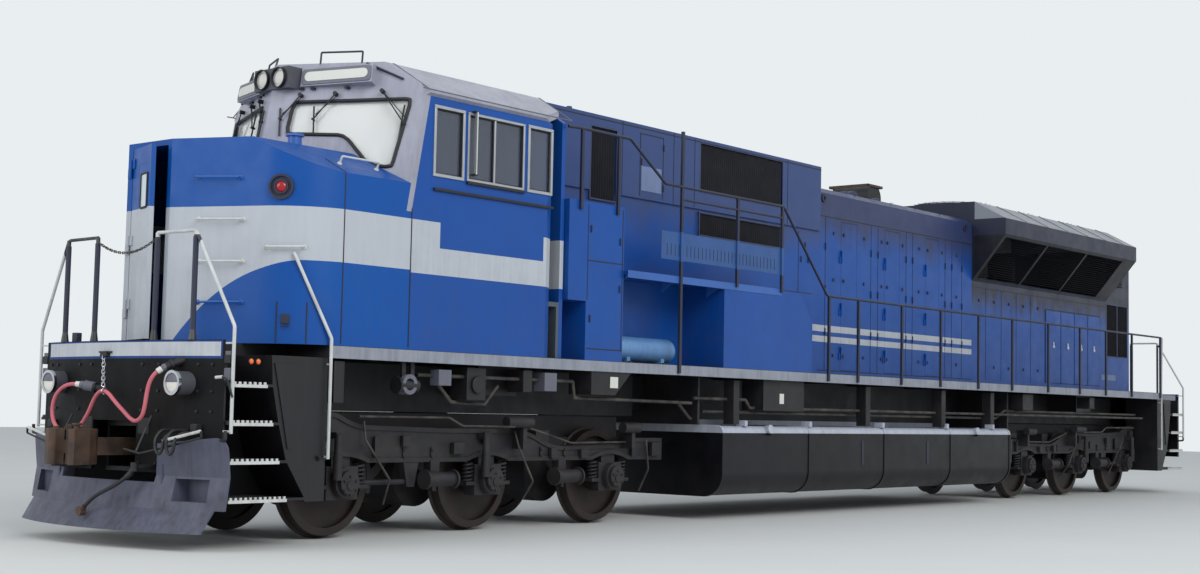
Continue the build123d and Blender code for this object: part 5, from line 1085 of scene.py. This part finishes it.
roofDetails = {
    "fansAt": [-4.845, -6.475, -8.105],
    "guardRings": [0.12, 0.24, 0.36, 0.48, 0.6],
    "guardBars": 12,
    "hatches": [
        (-3.6, 0.7, 0.55, 0.58, 4.49, 4.512), (-9.9, -9.3, 0.2, 0.6, 4.78, 4.8), (0.95, 1.6, 0.1, 0.7, 4.75, 4.775),
        (2.2, 3.4, 0.1, 0.8, 4.75, 4.77), (4.4, 5.3, 0.1, 0.8, 4.75, 4.77)],
    "covers": [
        ((-0.95, 0.12, 4.5), (-0.95, 0.42, 4.5), 0.16), ((-0.35, 0.55, 4.49), (-0.35, 0.65, 4.49), 0.08),
        ((-1.25, 0.55, 4.49), (-1.25, 0.65, 4.49), 0.08), ((6.3, 0.45, 4.75), (6.3, 0.45, 4.83), 0.09),
        ((5.9, 0.62, 4.75), (5.9, 0.62, 4.86), 0.035)],
}


def addRoofDetails():
    print("adding the roof details")
    bars, rings = [], bmesh.new()
    for x in roofDetails["fansAt"]:
        for k in range(roofDetails["guardBars"]):
            angle = math.pi * k / roofDetails["guardBars"]
            dx, dy = 0.655 * math.cos(angle), 0.655 * math.sin(angle)
            bars.append([(x - dx, -dy, 4.876), (x + dx, dy, 4.876)])
        for radius in roofDetails["guardRings"]:
            addRing(rings, (x, 0, 4.868), (0, 0, 1), radius + 0.004, radius - 0.004, 0.01, 48)
    addFittings("fanGuardBars", "greyDark", bars=bars, radius=0.0035, bevel=0, mirror=False)
    finishPiece(rings, "fanGuardRings", "greyDark")
    addFittings("wingSeams", "greyDark", radius=0.008, bevel=0, bars=[
        [(x, 0.95, 4.785), (x, 1.49, 4.486)] for x in (-4.6, -5.4, -6.2, -7, -7.8, -8.6)])
    addFittings("roofFittings", "sootyBlue", blocks=roofDetails["hatches"], pins=roofDetails["covers"], bevel=0.006)
    addFittings("roofSeams", "rubber", bevel=0, blocks=upright(
        (-0.3, -1.35, -2.1, -2.9), 0.005, 0, 0.86, 4.488, 4.493))
    addFittings("exhaustRim", "rusty", blocks=[
        *upright((-1.91, -1.49), 0.01, 0, 0.35, 4.8, 4.84), (-1.92, -1.48, 0.33, 0.35, 4.8, 4.84)])
    addFittings("cabRoofSeams", "greyDark", radius=0.006, bevel=0, bars=[
        [(9.15, 0.02, 4.752), (9.15, 1.05, 4.752), (9.12, 1.535, 4.452)],
        [(6.92, 0.02, 4.752), (6.92, 1.05, 4.752), (6.92, 1.535, 4.452)],
        [(9.2, 1.541, 4.447), (6.92, 1.541, 4.447)]])


addGrilles()
addHoodDetails()
addLiftingEyes()
addCabinetDetails()
addRoofDetails()


def addSpring(bm, x, y, low, high, radius, wire, turns):
    # A coil spring: one round section spun up its helix
    low, high = low + railTop + wire, high + railTop - wire
    steps = turns * 12
    section = Matrix.Translation((x + radius, y, low)) @ Matrix.Rotation(math.pi / 2, 4, "X")
    made = bmesh.ops.create_circle(bm, segments=6, radius=wire, matrix=section)["verts"]
    edges = list({edge for vert in made for edge in vert.link_edges})
    bmesh.ops.spin(bm, geom=edges, cent=(x, y, 0), axis=(0, 0, 1), angle=2 * math.pi * turns, steps=steps,
                   dvec=(0, 0, (high - low) / steps))


truckDetails = {
    # Distances from the truck's middle toward the locomotive's end
    "middle": 7.595,
    "axles": [2.07, 0, -2.07],
    "pipes": [
        [(2.05, 1.235, 1.178), (0.8, 1.235, 1.178), (0.6, 1.235, 1.095), (-0.2, 1.235, 1.09)],
        [(-0.6, 1.1, 1.075), (-1.3, 1.1, 0.915), (-2.3, 1.1, 0.925)],
        [(1.85, 1.09, 1.13), (1.85, 1.12, 0.95), (1.48, 1.09, 0.55), (1.46, 0.98, 0.3)],
        [(2.3, 1.07, 0.95), (2.42, 1.07, 0.6), (2.41, 0.98, 0.4)],
        [(-2.7, 1.08, 0.95), (-2.74, 1.09, 0.6), (-2.7, 0.98, 0.34)],
        [(-0.35, 1.1, 1.04), (-0.35, 1.16, 0.88), (-0.62, 1.14, 0.5), (-0.64, 0.98, 0.3)],
    ],
    # Boxes on the side frame, and the inner beam between the transoms
    "blocks": [
        (1.2, 1.3, 1.045, 1.085, 0.88, 0.99), (0.42, 0.58, 1.045, 1.1, 0.8, 0.92),
        (-1.08, -0.98, 1.045, 1.09, 0.74, 0.86), (-1.62, -1.5, 1.045, 1.09, 0.74, 0.84),
        (2.28, 2.4, 1.045, 1.09, 0.98, 1.12), (-2.95, -2.8, 1.045, 1.1, 0.76, 0.92),
        (-0.02, 0.1, 1.045, 1.08, 0.9, 1.03), (1.6, 1.68, 1.045, 1.08, 0.78, 0.98),
        (-2.5, -2.44, 1.045, 1.08, 0.76, 0.92), (-2.75, 2.75, 0.56, 0.58, 0.97, 1.219),
    ],
    "axleHeight": 0.5055,
    "axleBolts": 6,
    "boltCircle": 0.088,
    # Foot, top, radius, wire and turns of the springs, which stand this far before and behind each axle
    "spring": (0.505, 0.735, 0.052, 0.013, 5),
    "springOffset": 0.262,
}


def addTruckDetails():
    print("adding the truck details")
    for body, flip in (("truck_front", 1), ("truck_rear", -1)):
        middle, axleZ = flip * truckDetails["middle"], truckDetails["axleHeight"]
        springs, bolts = bmesh.new(), bmesh.new()
        for side in (1, -1):
            for x in [middle + flip * axle for axle in truckDetails["axles"]]:
                for spot in (x - truckDetails["springOffset"], x + truckDetails["springOffset"]):
                    addSpring(springs, spot, side * 0.985, *truckDetails["spring"])
                    addBlock(springs, spot - 0.075, spot + 0.075, side * 0.91, side * 1.055, 0.47, 0.508)
                for k in range(truckDetails["axleBolts"]):
                    angle = math.pi * (2 * k + 1) / truckDetails["axleBolts"]
                    boltX = x + truckDetails["boltCircle"] * math.cos(angle)
                    boltZ = axleZ + truckDetails["boltCircle"] * math.sin(angle)
                    addPin(bolts, (boltX, side * 1.16, boltZ), (boltX, side * 1.18, boltZ), 0.013, segments=6)
                addPin(bolts, (x, side * 1.16, axleZ), (x, side * 1.176, axleZ), 0.045)
            for x0, x1, y0, y1, z0, z1 in truckDetails["blocks"]:
                addBlock(bolts, middle + flip * x0, middle + flip * x1, side * y0, side * y1, z0, z1)
            for x in [middle + offset for offset in (-1.25, -0.85, 0.85, 1.25)]:
                for z in (0.77, 0.84):
                    addPin(bolts, (x, side * 1.045, z), (x, side * 1.064, z), 0.014, segments=6)
        finishPiece(springs, "axleSprings." + body, "cast", body)
        finishPiece(bolts, "truckFittings." + body, "cast", body, bevel=0.003)
        addFittings("truckPipes." + body, "pipe", body, radius=0.012, bend=0.04, bevel=0, bars=[
            [(middle + flip * x, y, z) for x, y, z in pipe] for pipe in truckDetails["pipes"]])


def addUnderframeDetails():
    print("adding the underframe's pipes and boxes")
    addFittings("underframePipes", "pipe", radius=0.02, bars=[
        [(9, 1.36, 1.6), (6.6, 1.36, 1.6), (6.5, 1.3, 1.42), (4.3, 1.3, 1.4)],
        [(4.46, 1.2, 1.42), (4.2, 1.2, 1.22), (3.95, 1.16, 1.16)],
        [(4.3, 1.34, 1.46), (3.2, 1.34, 1.46), (3.1, 1.34, 1.36), (-9.8, 1.34, 1.36)],
        [(4.05, 1.28, 1.3), (-3.9, 1.28, 1.3), (-4.2, 1.28, 1.42), (-9.6, 1.28, 1.42)],
        [(8.6, 1.25, 1.52), (8.4, 1.25, 1.34), (7.9, 1.25, 1.32), (7.7, 1.25, 1.52)]])
    lid = [((8.2, 1.42, 1.52), (8.2, 1.455, 1.52), 0.09)]
    addFittings("underframeBoxes", "black", bevel=0.008, pins=lid, blocks=[
        (8.06, 8.34, 1.18, 1.42, 1.36, 1.7), (7.36, 7.5, 1.2, 1.44, 1.46, 1.7), (-4.9, -4.52, 1.2, 1.46, 1.44, 1.7),
        (-7.4, -7.2, 1.2, 1.44, 1.5, 1.7), (0.3, 0.42, 1.3, 1.46, 1.15, 1.7), (-1.9, -1.78, 1.3, 1.46, 1.15, 1.7),
        (-3.5, -3.38, 1.3, 1.46, 1.15, 1.7), (3.5, 3.62, 1.3, 1.46, 1.15, 1.7), (10.05, 10.18, 1.3, 1.46, 1.3, 1.7)])
    addFittings("greyBoxes", "greyDark", bevel=0.006, blocks=[
        (6.98, 7.18, 1.3, 1.46, 1.48, 1.68), (8.62, 8.8, 1.34, 1.47, 1.5, 1.66)])
    # The tank's fillers, lifting lugs and gauges
    fillers = [((x, 1.38, 1.06), (x, 1.545, 1.09), 0.065) for x in (2.9, -2.8)]
    addFittings("tankFittings", "tank", bevel=0.005, pins=fillers,
                blocks=upright((3.4, 1.9, 0, -1.9, -3.4), 0.03, 1.36, 1.5, 1.13, 1.2))
    # Cross bearers between the tank and the trucks, and girders over the trucks
    addFittings("crossBearers", "black", bevel=0.004, blocks=[
        *upright((4.14, -4.3), 0.02, 0, 1.3, 1.14, 1.72),
        (4.6, 10.05, 0.6, 0.63, 1.2245, 1.72), (-10.05, -4.6, 0.6, 0.63, 1.2245, 1.72)])
    addFittings("tankGauges", "navy", bevel=0.002, blocks=[
        (0.55, 0.6, 1.5, 1.506, 0.62, 0.95), (-1.3, -1.24, 1.5, 1.506, 0.62, 0.95)])
    # Filter element on the box behind the steps
    bm = bmesh.new()
    for side in (1, -1):
        for k in range(4):
            addRing(bm, (9.19, side * (1.34 + 0.036 * k), 1.5), (0, side, 0), 0.1, 0.06, 0.014)
    finishPiece(bm, "filterRibs", "greyDark")


addTruckDetails()
addUnderframeDetails()


studio = {
    "floorHalf": 60,
    "floorTones": ("#D8D9D6", "#D2D3D0"),
    "skyLight": "#DDE4EC",
    "skyStrength": 0.75,
    "backdrop": "#E9EEF0",
    # A big soft key from the left front, as the hazy sun stood, and a weak fill ahead: place, target, size, watts
    "lamps": {"key": ((14, 30, 22), (2, 0, 2), 18, 6500), "fill": ((34, -6, 12), (6, 0, 2), 16, 2200)},
}


def addStudio():
    print("adding the floor and the lights")
    bm = bmesh.new()
    bmesh.ops.create_grid(bm, x_segments=1, y_segments=1, size=studio["floorHalf"])
    mesh = bpy.data.meshes.new("floor")
    bm.to_mesh(mesh)
    bm.free()
    mesh.materials.append(dullFinish("paleFloor", studio["floorTones"], (0.6, 3), {"Roughness": 0.85}))
    newObject("floor", mesh)

    # The sky lights the locomotive; the camera, glass and shine see the backdrop
    world = bpy.data.worlds.new("studio")
    bpy.context.scene.world = world
    world.use_nodes = True
    tree = world.node_tree
    tree.nodes.clear()
    ray = addNode(tree, "LightPath").outputs
    direct = addNode(tree, "Math", {"operation": "MAXIMUM"}, {0: ray["Is Camera Ray"], 1: ray["Is Transmission Ray"]})
    seen = addNode(tree, "Math", {"operation": "MAXIMUM"}, {0: direct, 1: ray["Is Glossy Ray"]})
    light = addNode(tree, "Background", {"Color": linear(studio["skyLight"]), "Strength": studio["skyStrength"]})
    shown = addNode(tree, "Background", {"Color": linear(studio["backdrop"]), "Strength": 1})
    both = addNode(tree, "MixShader", links={0: seen, 1: light, 2: shown})
    addNode(tree, "OutputWorld", links={"Surface": both})

    for name, (place, target, size, power) in studio["lamps"].items():
        lamp = bpy.data.lights.new(name, "AREA")
        lamp.size = size
        lamp.energy = power
        holder = newObject(name, lamp)
        holder.location = place
        holder.rotation_euler = (Vector(target) - Vector(place)).to_track_quat("-Z", "Y").to_euler()


addCamera()
addStudio()
bpy.context.scene.view_settings.view_transform = "Standard"
